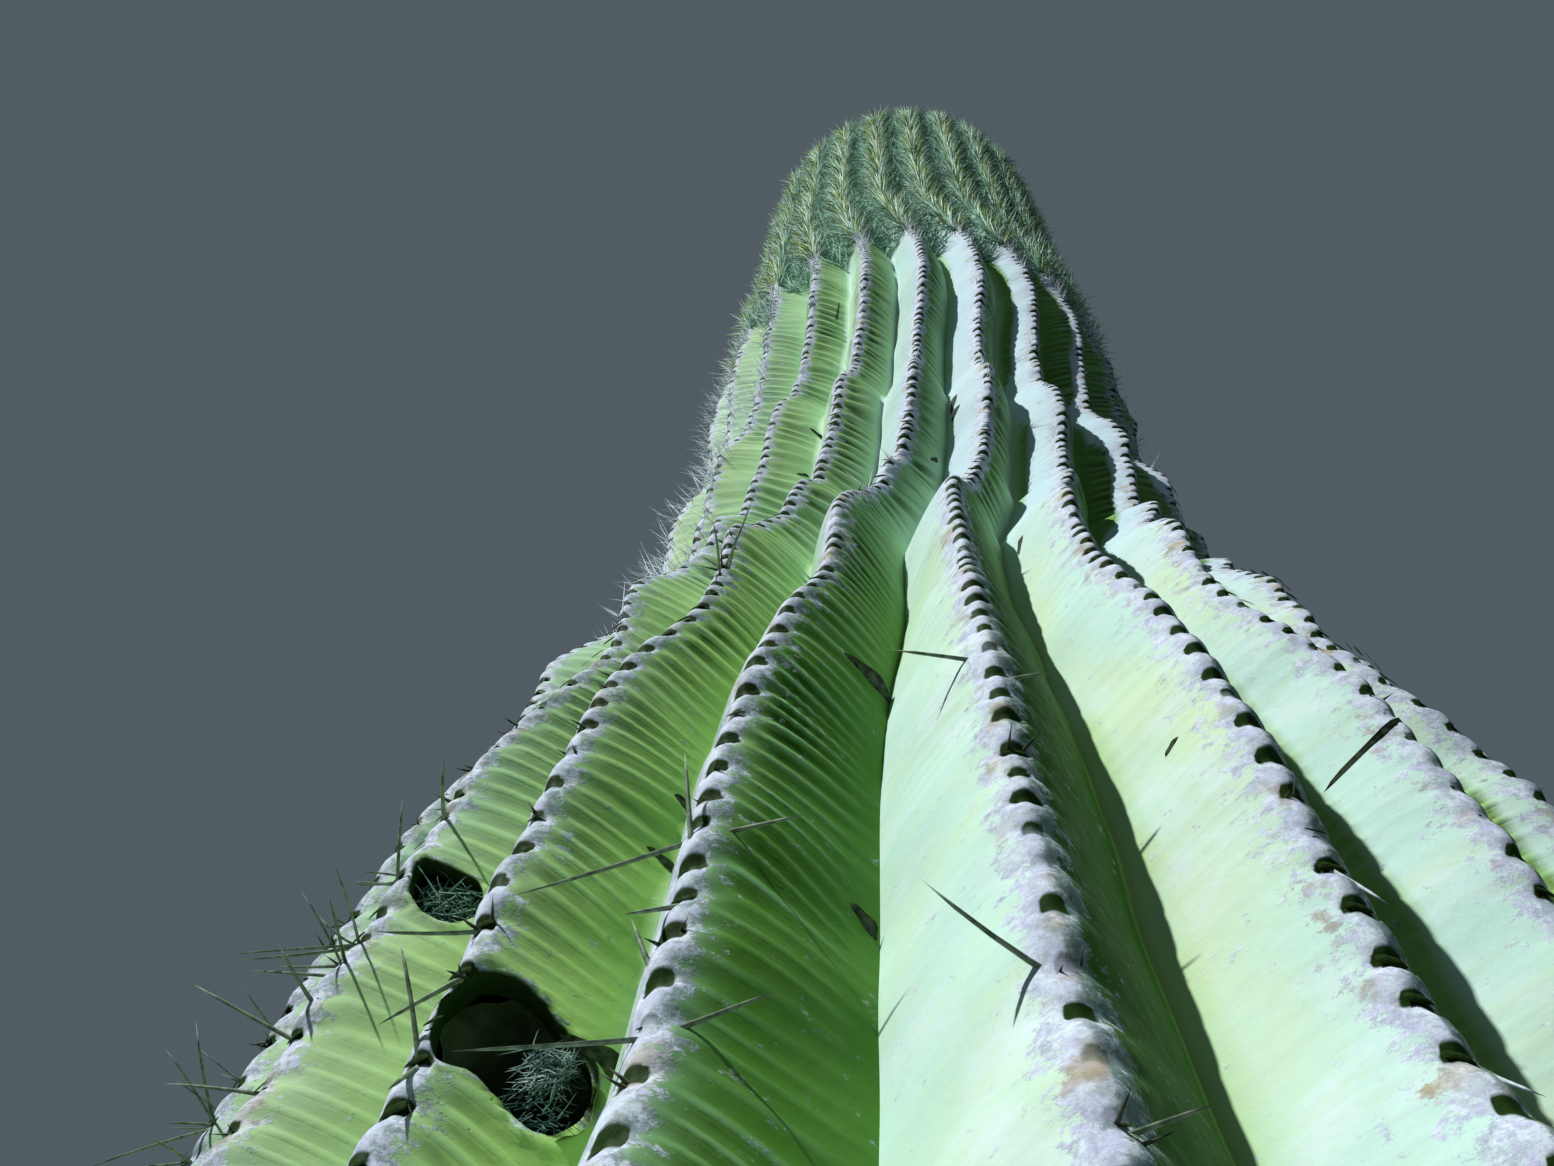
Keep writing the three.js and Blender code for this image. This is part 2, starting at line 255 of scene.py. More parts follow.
# Number of pleats up to a height.
PLEAT_HEIGHTS = np.linspace(-0.1, 4.8, 2451)
PLEATS_BELOW = np.cumsum(0.002 / smooth(PLEAT_GAP, PLEAT_HEIGHTS))


def areole_turn(rib, height):
    """Counts areoles up a rib: whole at each areole, and in between halfway up to the next."""
    marks = AREOLES[signed(rib)]
    return np.interp(height, marks, np.arange(len(marks)))


def rib_surface(rib, sides, heights):
    """One rib of the skin: a grid of points, rows up the stem and columns from valley to valley.

    sides run from -1 in the valley before the crest to 1 in the valley after it.
    Returns the points and the named values that the skin's material reads.
    """
    height = heights[:, None] + 0 * sides[None, :]
    side = sides[None, :] + 0 * height
    share = np.abs(side)
    here = rib_angle(rib, heights)[:, None]
    before, after = (rib_angle(next_rib, heights)[:, None] for next_rib in (rib - 1, rib + 1))
    there = np.where(side < 0, before, after)
    angle = here + (there - here) * share / 2
    radius = smooth(CREST_RADIUS, height)
    depth = smooth(RIB_DEPTH, height)
    across = radius * np.abs(angle - here)
    scale = smooth(RELIEF_SHARE, height)

    # Rounded crest, full flanks and a sharp valley.
    sharp = CREST_SHARPNESS
    fall = (np.sqrt(share**2 + sharp**2) - sharp) / (math.sqrt(1 + sharp**2) - sharp)
    bulge = FLANK_BULGE * (depth / FULL_DEPTH) * np.sin(math.pi * np.clip(share, 0, 1)) ** 1.5
    plain = on_stem(angle, radius - depth * fall + bulge, height)

    # An areole's notch has a steep arched roof and a floor that slopes out to the next lip below.
    turn = areole_turn(rib, height)
    arched = turn + NOTCH_ARCH * np.clip(across / NOTCH_HALF_WIDTH, 0, 1.6) ** 2
    t = arched % 1
    fresh = 1 - step_up(*BARE_CROWN, height)
    marks = VIGOUR[signed(rib)]
    vigour = np.interp(arched, np.arange(len(marks)), marks) * fresh
    width = NOTCH_HALF_WIDTH * (0.75 + 0.3 * vigour)
    rounded = np.sqrt(1 - np.where(t < 0.5, np.clip(t / 0.30, 0, 0.92), 0) ** 2)
    notch = vigour * (1 - step_up(0.72, 1.22, across / (width * rounded)))
    hollow = np.clip(1 - t / NOTCH_WALL, 0, 1) + step_up(0.55, 1.0, t)
    lip = step_up(0.18, 0.40, t) * (1 - step_up(0.50, 0.95, t)) * fresh
    lip *= np.exp(-((across / LIP_HALF_WIDTH) ** 2))
    crest = scale * (LIP_RISE * lip - NOTCH_DEPTH * hollow * notch)

    # The crest's shoulders swell out between the areoles.
    shoulder = np.exp(-(((across - SCALLOP_PLACE) / SCALLOP_HALF_WIDTH) ** 2)) * fresh
    swing = np.cos(2 * math.pi * (turn - 0.12)) + 0.3 * np.sin(4 * math.pi * turn)
    crest -= np.where(side < 0, SCALLOP, SHADE_SCALLOP) * scale * shoulder * swing

    # How far each point faces the pale side, on the plain shape: paler there, partly from a real bleach and
    # partly as painted light. Green shows where it doesn't.
    up = np.gradient(plain, axis=0)
    along = np.gradient(plain, axis=1)
    normal = normalised(np.cross(along, up)[..., :2])
    place = signed(rib) + side / 2
    behind = step_up(*BACK, np.abs(place))
    high = step_up(*UPPER_STEM, height)
    # Painted cool light on the upper stem, from just left of the middle round towards the back: a paler,
    # bluer sunlit copy.
    cool = high * step_up(*COOL_SIDE, place) * (1 - behind)
    facing = normal @ np.array(BLEACH_AND_LIGHT_SIDE)
    bleach_and_painted_light = step_up(0, 1, (facing - 0.45 + 0.35 * cool) / (0.55 + 0.10 * cool))
    bleach_and_painted_light *= 1 - 0.45 * (high - cool) - 0.50 * step_up(-2.0, -2.6, place) * (1 - high)
    # Painted light: on the upper stem, the valley strips of the left flanks left of the middle are made
    # pale even where they lie in shade.
    left_lit = high * (side < 0) * (place < 0)
    lit_strip = left_lit * step_up(0.25, 0.65, share) * step_up(-3.4, -2.6, place)
    bleach_and_painted_light = np.maximum(bleach_and_painted_light, 0.9 * lit_strip)
    # Painted shadow: each left flank turns green past that share, where its neighbour's shadow falls.
    edge = np.interp(np.degrees(here), *np.array(PAINTED_SHADOW_FROM).T) + smooth(PAINTED_SHADOW_SHIFT, height)
    bleach_and_painted_light *= np.where(side < 0, 1 - step_up(edge, edge + PAINTED_SHADOW_BLUR, share), 1)

    # Pleats run down each flank.
    fallen = height + smooth(PLEAT_DROP, height) * share
    wander = np.stack([fallen, 0 * fallen + 0.7 * rib, 0 * fallen], -1)
    pleat_turn = np.interp(fallen, PLEAT_HEIGHTS, PLEATS_BELOW) + 0.37 * rib
    pleat_turn += 0.45 * swell(plain, *PLEAT_SHIFT) + 0.16 * swell(wander, *PLEAT_WANDER)
    window = step_up(0.12, 0.34, share) * (1 - step_up(0.74, 0.98, share)) * fresh
    vary = np.clip(0.75 + 0.38 * swell(plain, *PLEAT_STRENGTH), 0.12, 1.3) * (1 - 0.88 * bleach_and_painted_light)
    vary *= 1 - 0.45 * step_up(*WORN_SKIN, height)
    # Painted shade: darker green on the right flanks from rib 0 on, below the waist and at the front, where
    # the pleat lines fade out too.
    painted_shade = step_up(-0.25, 0.1, place) * step_up(2.45, 2.25, height) * (side > 0) * (1 - behind)
    vary *= 1 - 0.9 * painted_shade
    wave = np.cos(2 * math.pi * pleat_turn)
    # Yellow-green on the shaded copy: partly a real tint, and painted light on the sun-grazed right flanks
    # of the left ribs and on the left flanks right of the middle.
    yellow_painted_light = np.where(side > 0, step_up(-0.9, -1.6, place), np.where(place > 0, 0.8, 0.5))
    yellow_painted_light = yellow_painted_light * (1 - 0.6 * cool) * (1 - behind) + 0.4 * behind

    uneven = UNEVENNESS * swell(plain, *BROAD_WAVES) + FINE_UNEVENNESS * swell(plain, *FINE_WAVES)
    uneven *= step_up(0, 0.05, height) * (1 - step_up(4.5, 4.69, height))
    lift = crest + PLEAT_RISE * np.sqrt(scale) * window * vary * wave + uneven
    points = on_stem(angle, radius - depth * fall + bulge + lift, height)
    reach = np.where(side < 0, CORK_REACH, CORK_REACH_SHADE)
    values = {
        "areole_turn": arched,
        "notch": notch,
        "cork": np.exp(-((across / reach) ** 2) / scale),
        "yellow_painted_light": yellow_painted_light,
        "painted_shade": painted_shade,
        # Upper stem, where lighter flanks and valleys are painted light, except right of rib 0's valley and
        # less behind.
        "high": high * (1 - step_up(0.5, 0.62, place)) * (1 - 0.7 * behind),
        "cool": cool,
        "young": step_up(*YOUNG_SKIN, height),
        "pleat_turn": pleat_turn,
        "pleat": window * vary,
        "share": share,
        "rib": 0 * share + rib,
        "bleach_and_painted_light": bleach_and_painted_light,
    }
    return points, values


def normalised(vectors):
    return vectors / np.maximum(np.linalg.norm(vectors, axis=-1, keepdims=True), 1e-12)


BLEACH_AND_LIGHT_SIDE = (math.sin(math.radians(BLEACH_AND_LIGHT_AZIMUTH)), -math.cos(math.radians(BLEACH_AND_LIGHT_AZIMUTH)))


def rows(*bands):
    """Heights from bands of (from, to, step)."""
    heights = [np.array([bands[0][0]])]
    for start, end, step in bands:
        heights.append(np.linspace(start, end, round((end - start) / step) + 1)[1:])
    return np.concatenate(heights)


def crest_columns(half, power):
    """Columns over a rib, closer together near the crest."""
    t = np.linspace(-1, 1, 2 * half + 1)
    return np.sign(t) * np.abs(t) ** power


FINE_ROWS = rows((0, 1.7, 0.012), (1.7, 2.66, 0.0022), (2.66, 3.5, 0.0030), (3.5, 4.69, 0.010))
MEDIUM_ROWS = rows((0, 1.7, 0.012), (1.7, 2.66, 0.0034), (2.66, 3.5, 0.0042), (3.5, 4.69, 0.012))
COARSE_ROWS = rows((0, 1.7, 0.012), (1.7, 3.5, 0.0070), (3.5, 4.69, 0.012))
FINE_COLUMNS = crest_columns(14, 1.85)
COARSE_COLUMNS = crest_columns(8, 1.65)


# Materials

class Graph:
    """A new material, with short ways to add nodes. A value is a number, a socket or an RGB tuple."""

    def __init__(self, name, roughness, specular):
        self.material = bpy.data.materials.new(name)
        self.material.use_nodes = True
        self.tree = self.material.node_tree
        self.shader = self.tree.nodes["Principled BSDF"]
        self.shader.inputs["Roughness"].default_value = roughness
        self.shader.inputs["Specular IOR Level"].default_value = specular

    def feed(self, value, socket):
        """Links a socket to another one or sets its own value."""
        if isinstance(value, bpy.types.NodeSocket):
            self.tree.links.new(value, socket)
        else:
            socket.default_value = (*value, 1) if socket.type == "RGBA" else value

    def node(self, kind, *inputs, **properties):
        """A node with its properties set and its first inputs fed."""
        node = self.tree.nodes.new("ShaderNode" + kind)
        for key, value in properties.items():
            setattr(node, key, value)
        for value, socket in zip(inputs, node.inputs):
            self.feed(value, socket)
        return node

    def math(self, operation, *values):
        return self.node("Math", *values, operation=operation).outputs[0]

    def times(self, product, *values):
        for value in values:
            product = self.math("MULTIPLY", product, value)
        return product

    def attribute(self, name):
        return self.node("Attribute", attribute_name=name).outputs["Fac"]

    def noise(self, scale, detail=3, roughness=0.55, stretch=None, place=None):
        """Noise over a place, which is the object's own space where none is given."""
        if place is None:
            place = self.node("TexCoord").outputs["Object"]
        if stretch:
            mapping = self.node("Mapping", place)
            mapping.inputs["Scale"].default_value = stretch
            place = mapping.outputs[0]
        node = self.node("TexNoise", place)
        node.inputs["Scale"].default_value = scale
        node.inputs["Detail"].default_value = detail
        node.inputs["Roughness"].default_value = roughness
        return node.outputs["Fac"]

    def spread(self, value, low, high, to_low=0.0, to_high=1.0):
        """Maps low..high of a value to to_low..to_high, clamped."""
        return self.node("MapRange", value, low, high, to_low, to_high).outputs[0]

    def mix(self, factor, a, b):
        node = self.node("Mix", factor, data_type="RGBA")
        colours = [socket for socket in node.inputs if socket.type == "RGBA"]
        self.feed(a, colours[0])
        self.feed(b, colours[1])
        return [socket for socket in node.outputs if socket.type == "RGBA"][0]

    def layers(self, colour, *coats):
        """Lays coats of (factor, colour) over a colour."""
        for factor, coat in coats:
            colour = self.mix(factor, colour, coat)
        return colour

    def bump(self, height, strength, distance):
        node = self.node("Bump", strength, distance)
        self.feed(height, node.inputs["Height"])
        self.feed(node.outputs["Normal"], self.shader.inputs["Normal"])


# Painted shade in the dark band along each pleat.
DEEP_GREEN = (0.026, 0.090, 0.009)
# Painted shade on the right flanks of the lower stem.
PAINTED_SHADE_GREEN = (0.034, 0.115, 0.010)
GREEN = (0.080, 0.225, 0.028)
# Painted light on the flanks of the upper stem.
LIGHT_GREEN = (0.240, 0.490, 0.150)
# Yellow-green, in real patches and as painted light where the sun grazes.
YELLOW_GREEN = (0.400, 0.640, 0.200)
# Painted highlight on the thin line along each pleat.
PALE_LINE = (0.26, 0.50, 0.28)
# Painted light in the valleys of the upper stem.
PALE_VALLEY = (0.50, 0.74, 0.52)
# Colours of the skin's sunlit copy, partly a real wax bloom and partly painted light.
PALE_MINT = (0.52, 0.77, 0.69)
PALE_YELLOW = (0.56, 0.75, 0.52)
WAX_WHITE = (0.62, 0.80, 0.78)
# Painted cool light on the sunlit upper stem.
PAINTED_COOL_LIGHT = (0.48, 0.64, 0.76)
YOUNG_GREEN = (0.20, 0.38, 0.25)
LAVENDER = (0.52, 0.56, 0.74)
CREST_WHITE = (0.66, 0.76, 0.86)
# Cork in painted shade, teal from green light bounced off the flanks.
TEAL_GREY = (0.10, 0.21, 0.18)
BEIGE = (0.44, 0.39, 0.28)
CREST_GREY = (0.18, 0.24, 0.24)
PIT_OLIVE = (0.018, 0.046, 0.009)


def skin_material():
    """Waxy skin with pleats, corky crests and dark notches, in a shaded and a sunlit copy of its colour:
    painted light and shade, partly a real bleach.
    """
    g = Graph("waxy_skin", 0.6, 0.02)
    names = ("bleach_and_painted_light", "share", "high", "painted_shade", "pleat", "pleat_turn")
    bleach_and_painted_light, share, high, painted_shade, pleat, pleat_turn = map(g.attribute, names)
    broad = g.noise(9, 4, stretch=(1, 1, 0.55))
    fine = g.noise(160, 4, 0.6)

    # Streaks that follow the pleats, and along each pleat a dark band of painted shade and a thin pale line
    # of painted highlight.
    along = g.node("CombineXYZ", pleat_turn, share, g.attribute("rib")).outputs[0]
    streak = g.noise(1.3, 3, 0.5, place=along)
    wave = g.math("COSINE", g.times(pleat_turn, 2 * math.pi))
    line = g.times(g.spread(wave, 0.25, 1.0), pleat, g.spread(share, 0.25, 0.85, 1.0, 0.3))
    dark = g.times(g.spread(wave, 0.65, -0.5), pleat, g.spread(streak, 0.32, 0.52))
    dark = g.times(dark, g.spread(share, 0.35, 0.85, 1.0, 0.15))

    yellow_painted_light = g.times(g.attribute("yellow_painted_light"), g.spread(share, 0.15, 0.60, 0.55, 1.0))
    yellow_painted_light = g.times(yellow_painted_light, g.spread(broad, 0.30, 0.60, 0.7, 1.0))
    # The skin's shaded copy: its own green, with painted light and shade laid over it.
    shade_side = g.layers(
        GREEN,
        (g.spread(broad, 0.40, 0.70, 0, 0.25), YELLOW_GREEN),
        (g.times(painted_shade, 0.85), PAINTED_SHADE_GREEN),
        (g.times(high, g.spread(share, 0.1, 0.6, 0.2, 0.95)), LIGHT_GREEN),
        (yellow_painted_light, YELLOW_GREEN),
        (g.times(high, g.spread(share, 0.35, 0.95, 0.10, 0.75)), PALE_VALLEY),
        (dark, DEEP_GREEN),
        (g.times(line, g.spread(streak, 0.65, 0.40)), PALE_LINE),
    )
    # The skin's sunlit copy: pale from a real wax bloom and from painted light.
    sun_side = g.layers(
        PALE_MINT,
        (g.spread(broad, 0.42, 0.62), PALE_YELLOW),
        (g.spread(g.noise(26, 5), 0.5, 0.7), WAX_WHITE),
        (g.times(g.spread(streak, 0.52, 0.7), 0.5), PALE_YELLOW),
        (g.times(g.attribute("cool"), 0.75), PAINTED_COOL_LIGHT),
    )
    # The two copies are mixed by how far the skin faces the sun's side.
    skin = g.mix(bleach_and_painted_light, shade_side, sun_side)
    skin = g.layers(skin, (g.times(g.attribute("young"), 0.75), YOUNG_GREEN))

    # Cork on the crest thins out in blotches down the flanks. Its colour comes in a sunlit copy and a
    # shaded copy, which are painted light and painted shade, with a painted highlight in arcs on the lips
    # over the notches.
    t = g.math("FRACT", g.attribute("areole_turn"))
    lip_highlight = g.spread(g.math("ABSOLUTE", g.math("SUBTRACT", t, 0.42)), 0.20, 0.03)
    blotch = g.times(g.math("SUBTRACT", g.noise(130, 5, 0.75), 0.5), 3.0)
    corky = g.spread(g.math("ADD", g.attribute("cork"), blotch), 0.34, 0.62)
    # Teal-grey patches on the sunlit copy, stronger where the skin is less pale: partly painted shade.
    teal_stain_and_shade = g.spread(g.noise(85, 5, 0.8, stretch=(1, 1, 0.5)), 0.52, 0.60)
    sunny = g.layers(
        LAVENDER,
        (g.spread(g.noise(120, 4, 0.8), 0.46, 0.56), CREST_WHITE),
        (g.spread(g.noise(45, 4), 0.54, 0.68), BEIGE),
        (g.times(teal_stain_and_shade, g.spread(bleach_and_painted_light, 0.5, 1.0, 0.75, 0.30)), TEAL_GREY),
        (g.times(lip_highlight, 0.35), CREST_WHITE),
    )
    # The cork's shaded copy, teal-grey as painted shade, with pale and beige mottling.
    shady = g.layers(
        TEAL_GREY,
        (g.spread(g.noise(150, 5, 0.8), 0.46, 0.60), CREST_WHITE),
        (g.spread(g.noise(120, 3, 0.7), 0.54, 0.66), BEIGE),
    )
    # Which copy shows: painted shade on the lower right flanks, and painted light where the skin is pale
    # and on the upper stem.
    shaded = g.times(painted_shade, g.spread(share, 0.02, 0.12, 0.0, 0.8))
    sunned = g.math("MAXIMUM", g.spread(bleach_and_painted_light, 0.0, 0.35, 0.15, 1.0), high)
    sunned = g.times(sunned, g.math("SUBTRACT", 1.0, shaded))
    # Dark specks, denser on the lower stem and where the skin is less pale, which is partly painted shade.
    specks = g.times(g.spread(g.noise(180, 4, 0.8), 0.48, 0.56), g.spread(bleach_and_painted_light, 0.2, 1.0, 0.80, 0.30))
    specks = g.times(specks, g.spread(high, 0.0, 1.0, 1.0, 0.45))
    cork_colour = g.layers(g.mix(sunned, shady, sunny), (specks, CREST_GREY))
    skin = g.mix(corky, skin, cork_colour)

    # Felt and shade inside the notches, and the worn inside of holes.
    inside = g.math("MAXIMUM", g.spread(t, 0.24, 0.18), g.spread(t, 0.90, 0.96))
    inside = g.times(inside, g.spread(g.attribute("notch"), 0.30, 0.50))
    wound = g.spread(g.attribute("wound"), 0.2, 0.8)
    skin = g.layers(skin, (inside, PIT_OLIVE), (wound, PIT_OLIVE))
    g.feed(skin, g.shader.inputs["Base Color"])
    g.feed(g.spread(fine, 0.3, 0.7, 0.45, 0.68), g.shader.inputs["Roughness"])
    pitted = g.times(g.noise(420, 3, 0.7), corky, 0.25)
    g.bump(g.math("ADD", g.math("ADD", g.times(fine, 0.35), line), pitted), 0.7, 0.0010)
    return g.material


def grained(name, dark, light, roughness, scale):
    """A base colour between two tones, with a fine grain in colour and relief."""
    g = Graph(name, roughness, 0.03)
    grain = g.noise(scale)
    g.feed(g.mix(g.spread(grain, 0.35, 0.65), dark, light), g.shader.inputs["Base Color"])
    g.bump(grain, 0.3, 0.0008)
    return g.material


SKIN = skin_material()
# Felt of the areoles, darkened to green-black as painted shade of the notches it sits in.
FELT_AND_NOTCH_SHADE = grained("dark_felt_and_notch_shade", (0.009, 0.025, 0.004), (0.024, 0.050, 0.012), 0.9, 700)
FELT_PALE = grained("pale_felt", (0.20, 0.17, 0.10), (0.42, 0.38, 0.27), 0.9, 700)
SPINE_GREEN = grained("grey_green_spine", (0.10, 0.15, 0.10), (0.30, 0.38, 0.26), 0.5, 260)
SPINE_DARK = grained("dark_spine", (0.020, 0.030, 0.018), (0.08, 0.10, 0.06), 0.5, 260)
HAIR_WHITE = grained("white_hair", (0.40, 0.50, 0.54), (0.72, 0.82, 0.86), 0.5, 260)
BRISTLE_STRAW = grained("straw_bristle", (0.17, 0.24, 0.05), (0.40, 0.50, 0.16), 0.6, 260)
BRISTLE_GREY = grained("grey_bristle", (0.07, 0.19, 0.11), (0.34, 0.60, 0.46), 0.6, 90)
BRISTLE_MINT = grained("mint_bristle", (0.14, 0.32, 0.22), (0.46, 0.72, 0.60), 0.6, 90)
BRISTLE_WHITE = grained("white_bristle", (0.36, 0.56, 0.46), (0.60, 0.80, 0.70), 0.6, 260)
CORK = grained("scar_cork", (0.055, 0.085, 0.035), (0.13, 0.19, 0.09), 0.95, 90)
FIBRE = grained("blue_grey_fibre", (0.02, 0.05, 0.04), (0.14, 0.27, 0.25), 0.8, 220)
FLUFF = grained("pale_fluff", (0.05, 0.11, 0.09), (0.34, 0.48, 0.46), 0.8, 120)
TWIG = grained("blue_green_twig", (0.04, 0.10, 0.07), (0.19, 0.33, 0.27), 0.8, 300)
SCAR = grained("healed_scar", (0.020, 0.028, 0.016), (0.09, 0.12, 0.07), 0.8, 300)


# Pieces

def add_object(name, data):
    """A new object in the scene."""
    thing = bpy.data.objects.new(name, data)
    bpy.context.scene.collection.objects.link(thing)
    return thing


def make_piece(name, points, faces, material, nodes, values=None):
    """A mesh piece that rides on the plant and stands for its nodes."""
    mesh = bpy.data.meshes.new(name)
    mesh.from_pydata(points, [], faces)
    mesh.shade_smooth()
    for key, value in (values or {}).items():
        mesh.attributes.new(key, "FLOAT", "POINT").data.foreach_set("value", value.astype(np.float32))
    mesh.materials.append(material)
    piece = add_object(name, mesh)
    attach(piece, "root")
    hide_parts(*nodes)
    return piece


LOW_ROWS = [f"spine_row_{rib + 1:02d}_low" for rib in range(RIBS)]
HIGH_ROWS = [f"spine_row_{rib + 1:02d}_high" for rib in range(RIBS)]


def grid_faces(row_count, column_count):
    low = np.arange(row_count - 1)[:, None] * column_count + np.arange(column_count - 1)[None, :]
    return np.stack([low, low + 1, low + 1 + column_count, low + column_count], -1).reshape(-1, 4)


def closed_tube(rings, count, copies=1):
    """Faces of tubes of rings of count points, each tube's last ring closed by a point after it."""
    around = np.arange(count)
    following = (around + 1) % count
    quad = np.stack([around, following, count + following, count + around], -1)
    cap = np.stack([around, following, np.full(count, count)], -1) + (rings - 1) * count
    base = (np.arange(copies) * (rings * count + 1))[:, None, None]
    faces = []
    for ring in range(rings - 1):
        faces += (base + ring * count + quad).reshape(-1, 4).tolist()
    return faces + (base + cap).reshape(-1, 3).tolist()


def skin_grid(first, after, columns, heights):
    """The skin over neighbouring ribs as one grid, with the valleys between them shared."""
    parts = [rib_surface(rib, columns, heights) for rib in range(first, after)]
    keep = [slice(None, -1)] * (len(parts) - 1) + [slice(None)]
    points = np.concatenate([part[0][:, cut] for part, cut in zip(parts, keep)], 1)
    values = {
        key: np.concatenate([part[1][key][:, cut] for part, cut in zip(parts, keep)], 1)
        for key in parts[0][1]
    }
    return points, values


def skin_piece(name, first, after, columns, heights, change=None):
    """The skin from one rib up to before another, closed to the middle at its foot and tip."""
    points, values = skin_grid(first, after, columns, heights)
    values["wound"] = np.zeros(points.shape[:2])
    if change:
        change(points, values)
    row_count, column_count = points.shape[:2]
    faces = grid_faces(row_count, column_count).tolist()
    foot = row_count * column_count
    tip = foot + 1
    top = foot - column_count
    for column in range(column_count - 1):
        faces.append([foot, column + 1, column])
        faces.append([tip, top + column, top + column + 1])
    ends = [[0, 0, 0], [LEAN_AT_TIP, 0, TIP_HEIGHT]]
    flat = np.concatenate([points.reshape(-1, 3), ends])
    flat_values = {key: np.append(value.ravel(), [0, 0]) for key, value in values.items()}
    return make_piece(name, flat, faces, SKIN, ["trunk"], flat_values)


def hole_centre(rib, height):
    low = rib_angle(math.floor(rib), height)
    high = rib_angle(math.floor(rib) + 1, height)
    angle = low + (high - low) * (rib - math.floor(rib))
    radius = smooth(CREST_RADIUS, height) - HOLE_ON_FLANK * smooth(RIB_DEPTH, height)
    return on_stem(np.array(angle), radius, height)


NEST_CENTRE = hole_centre(NEST_RIB, NEST_HEIGHT)
PIT_CENTRE = hole_centre(PIT_RIB, PIT_HEIGHT)


def outline_radius(outline, turn):
    """Distance from a hole's axis to its outline, which is a ring of points seen along Y."""
    corners = np.array(outline)
    angles = np.arctan2(corners[:, 1], corners[:, 0])
    order = np.argsort(angles)
    angles = angles[order]
    radii = np.hypot(*corners[order].T)
    angles = np.concatenate([angles - 2 * math.pi, angles, angles + 2 * math.pi])
    radii = np.tile(radii, 3)
    fine = np.linspace(-math.pi, math.pi, 721)
    sharp = np.interp(fine, angles, radii)[:-1]
    kernel = np.hanning(41)
    soft = np.convolve(np.concatenate([sharp[-20:], sharp, sharp[:20]]), kernel / kernel.sum(), "valid")
    soft = np.append(soft, soft[0])
    return np.interp((turn + math.pi) % (2 * math.pi) - math.pi, fine, soft)


def hole_reach(points, centre, outline):
    """0 at a hole's axis, 1 on its outline and more outside it."""
    side = points[..., 0] - centre[0]
    rise = points[..., 2] - centre[2]
    return np.hypot(side, rise) / outline_radius(outline, np.arctan2(rise, side))


def callus(points, values):
    """Raises a corky rim round the nest hole and the pit."""
    holes = ((NEST_CENTRE, NEST_OUTLINE, NEST_CALLUS), (PIT_CENTRE, PIT_OUTLINE, PIT_CALLUS))
    for centre, outline, rise in holes:
        front = points[..., 1] < centre[1] + 0.06
        reach = np.where(front, hole_reach(points, centre, outline), 9)
        points[..., 1] -= rise * np.exp(-(((reach - 1.12) / 0.10) ** 2))
        values["cork"] = np.maximum(values["cork"], 0.55 * np.exp(-(((reach - 1.03) / 0.07) ** 2)))
        values["wound"] = np.maximum(values["wound"], 1 - step_up(0.98, 1.02, reach))


def hole_ring(centre, outline, count, share=1.0):
    """The X and Z of points round a hole's outline, or round a share of it."""
    turns = np.arange(count) * 2 * math.pi / count
    radius = share * outline_radius(outline, turns)
    return np.stack([centre[0] + radius * np.cos(turns), centre[2] + radius * np.sin(turns)], -1)


def cut_hole(piece, centre, outline, count, rim):
    """Cuts a hole straight through the skin along Y and turns its edge inward over some steps.

    rim is a list of (share of the hole's size, distance in from the skin).
    """
    bm = bmesh.new()
    bm.from_mesh(piece.data)
    middle = Vector(centre)
    reach = NEAR_HOLE * max(math.hypot(*corner) for corner in outline)
    near = [f for f in bm.faces if (f.calc_center_median() - middle).length < reach]
    ring = hole_ring(centre, outline, count)
    for start, end in zip(ring, np.roll(ring, -1, 0)):
        edges = {e for f in near for e in f.edges}
        verts = {v for f in near for v in f.verts}
        plane = Vector((end[1] - start[1], 0, start[0] - end[0]))
        cut = bmesh.ops.bisect_plane(
            bm, geom=[*near, *edges, *verts], dist=1e-6, plane_co=(start[0], 0, start[1]), plane_no=plane,
        )
        near = [g for g in cut["geom"] if isinstance(g, bmesh.types.BMFace)]
    inside = []
    for face in near:
        point = face.calc_center_median()
        if inside_ring(ring, point.x, point.z):
            inside.append(face)
    border = {e for f in inside for e in f.edges}
    bmesh.ops.delete(bm, geom=inside, context="FACES")
    edge_loop = [e for e in border if e.is_valid and len(e.link_faces) == 1]
    wound = bm.verts.layers.float["wound"]
    for share, depth in rim:
        made = bmesh.ops.extrude_edge_only(bm, edges=edge_loop)["geom"]
        for vert in [g for g in made if isinstance(g, bmesh.types.BMVert)]:
            vert.co.x = centre[0] + (vert.co.x - centre[0]) * share
            vert.co.z = centre[2] + (vert.co.z - centre[2]) * share
            vert.co.y += depth
            vert[wound] = 1
        edge_loop = [g for g in made if isinstance(g, bmesh.types.BMEdge)]
    bmesh.ops.recalc_face_normals(bm, faces=bm.faces)
    bm.to_mesh(piece.data)
    bm.free()
    piece.data.shade_smooth()


def inside_ring(ring, x, z):
    """Whether a point lies in a ring that its middle sees all of."""
    following = np.roll(ring, -1, 0)
    crosses = (ring[:, 1] > z) != (following[:, 1] > z)
    run = (z - ring[:, 1]) / np.where(crosses, following[:, 1] - ring[:, 1], 1)
    at = ring[:, 0] + run * (following[:, 0] - ring[:, 0])
    return bool(np.sum(crosses & (x < at)) % 2)


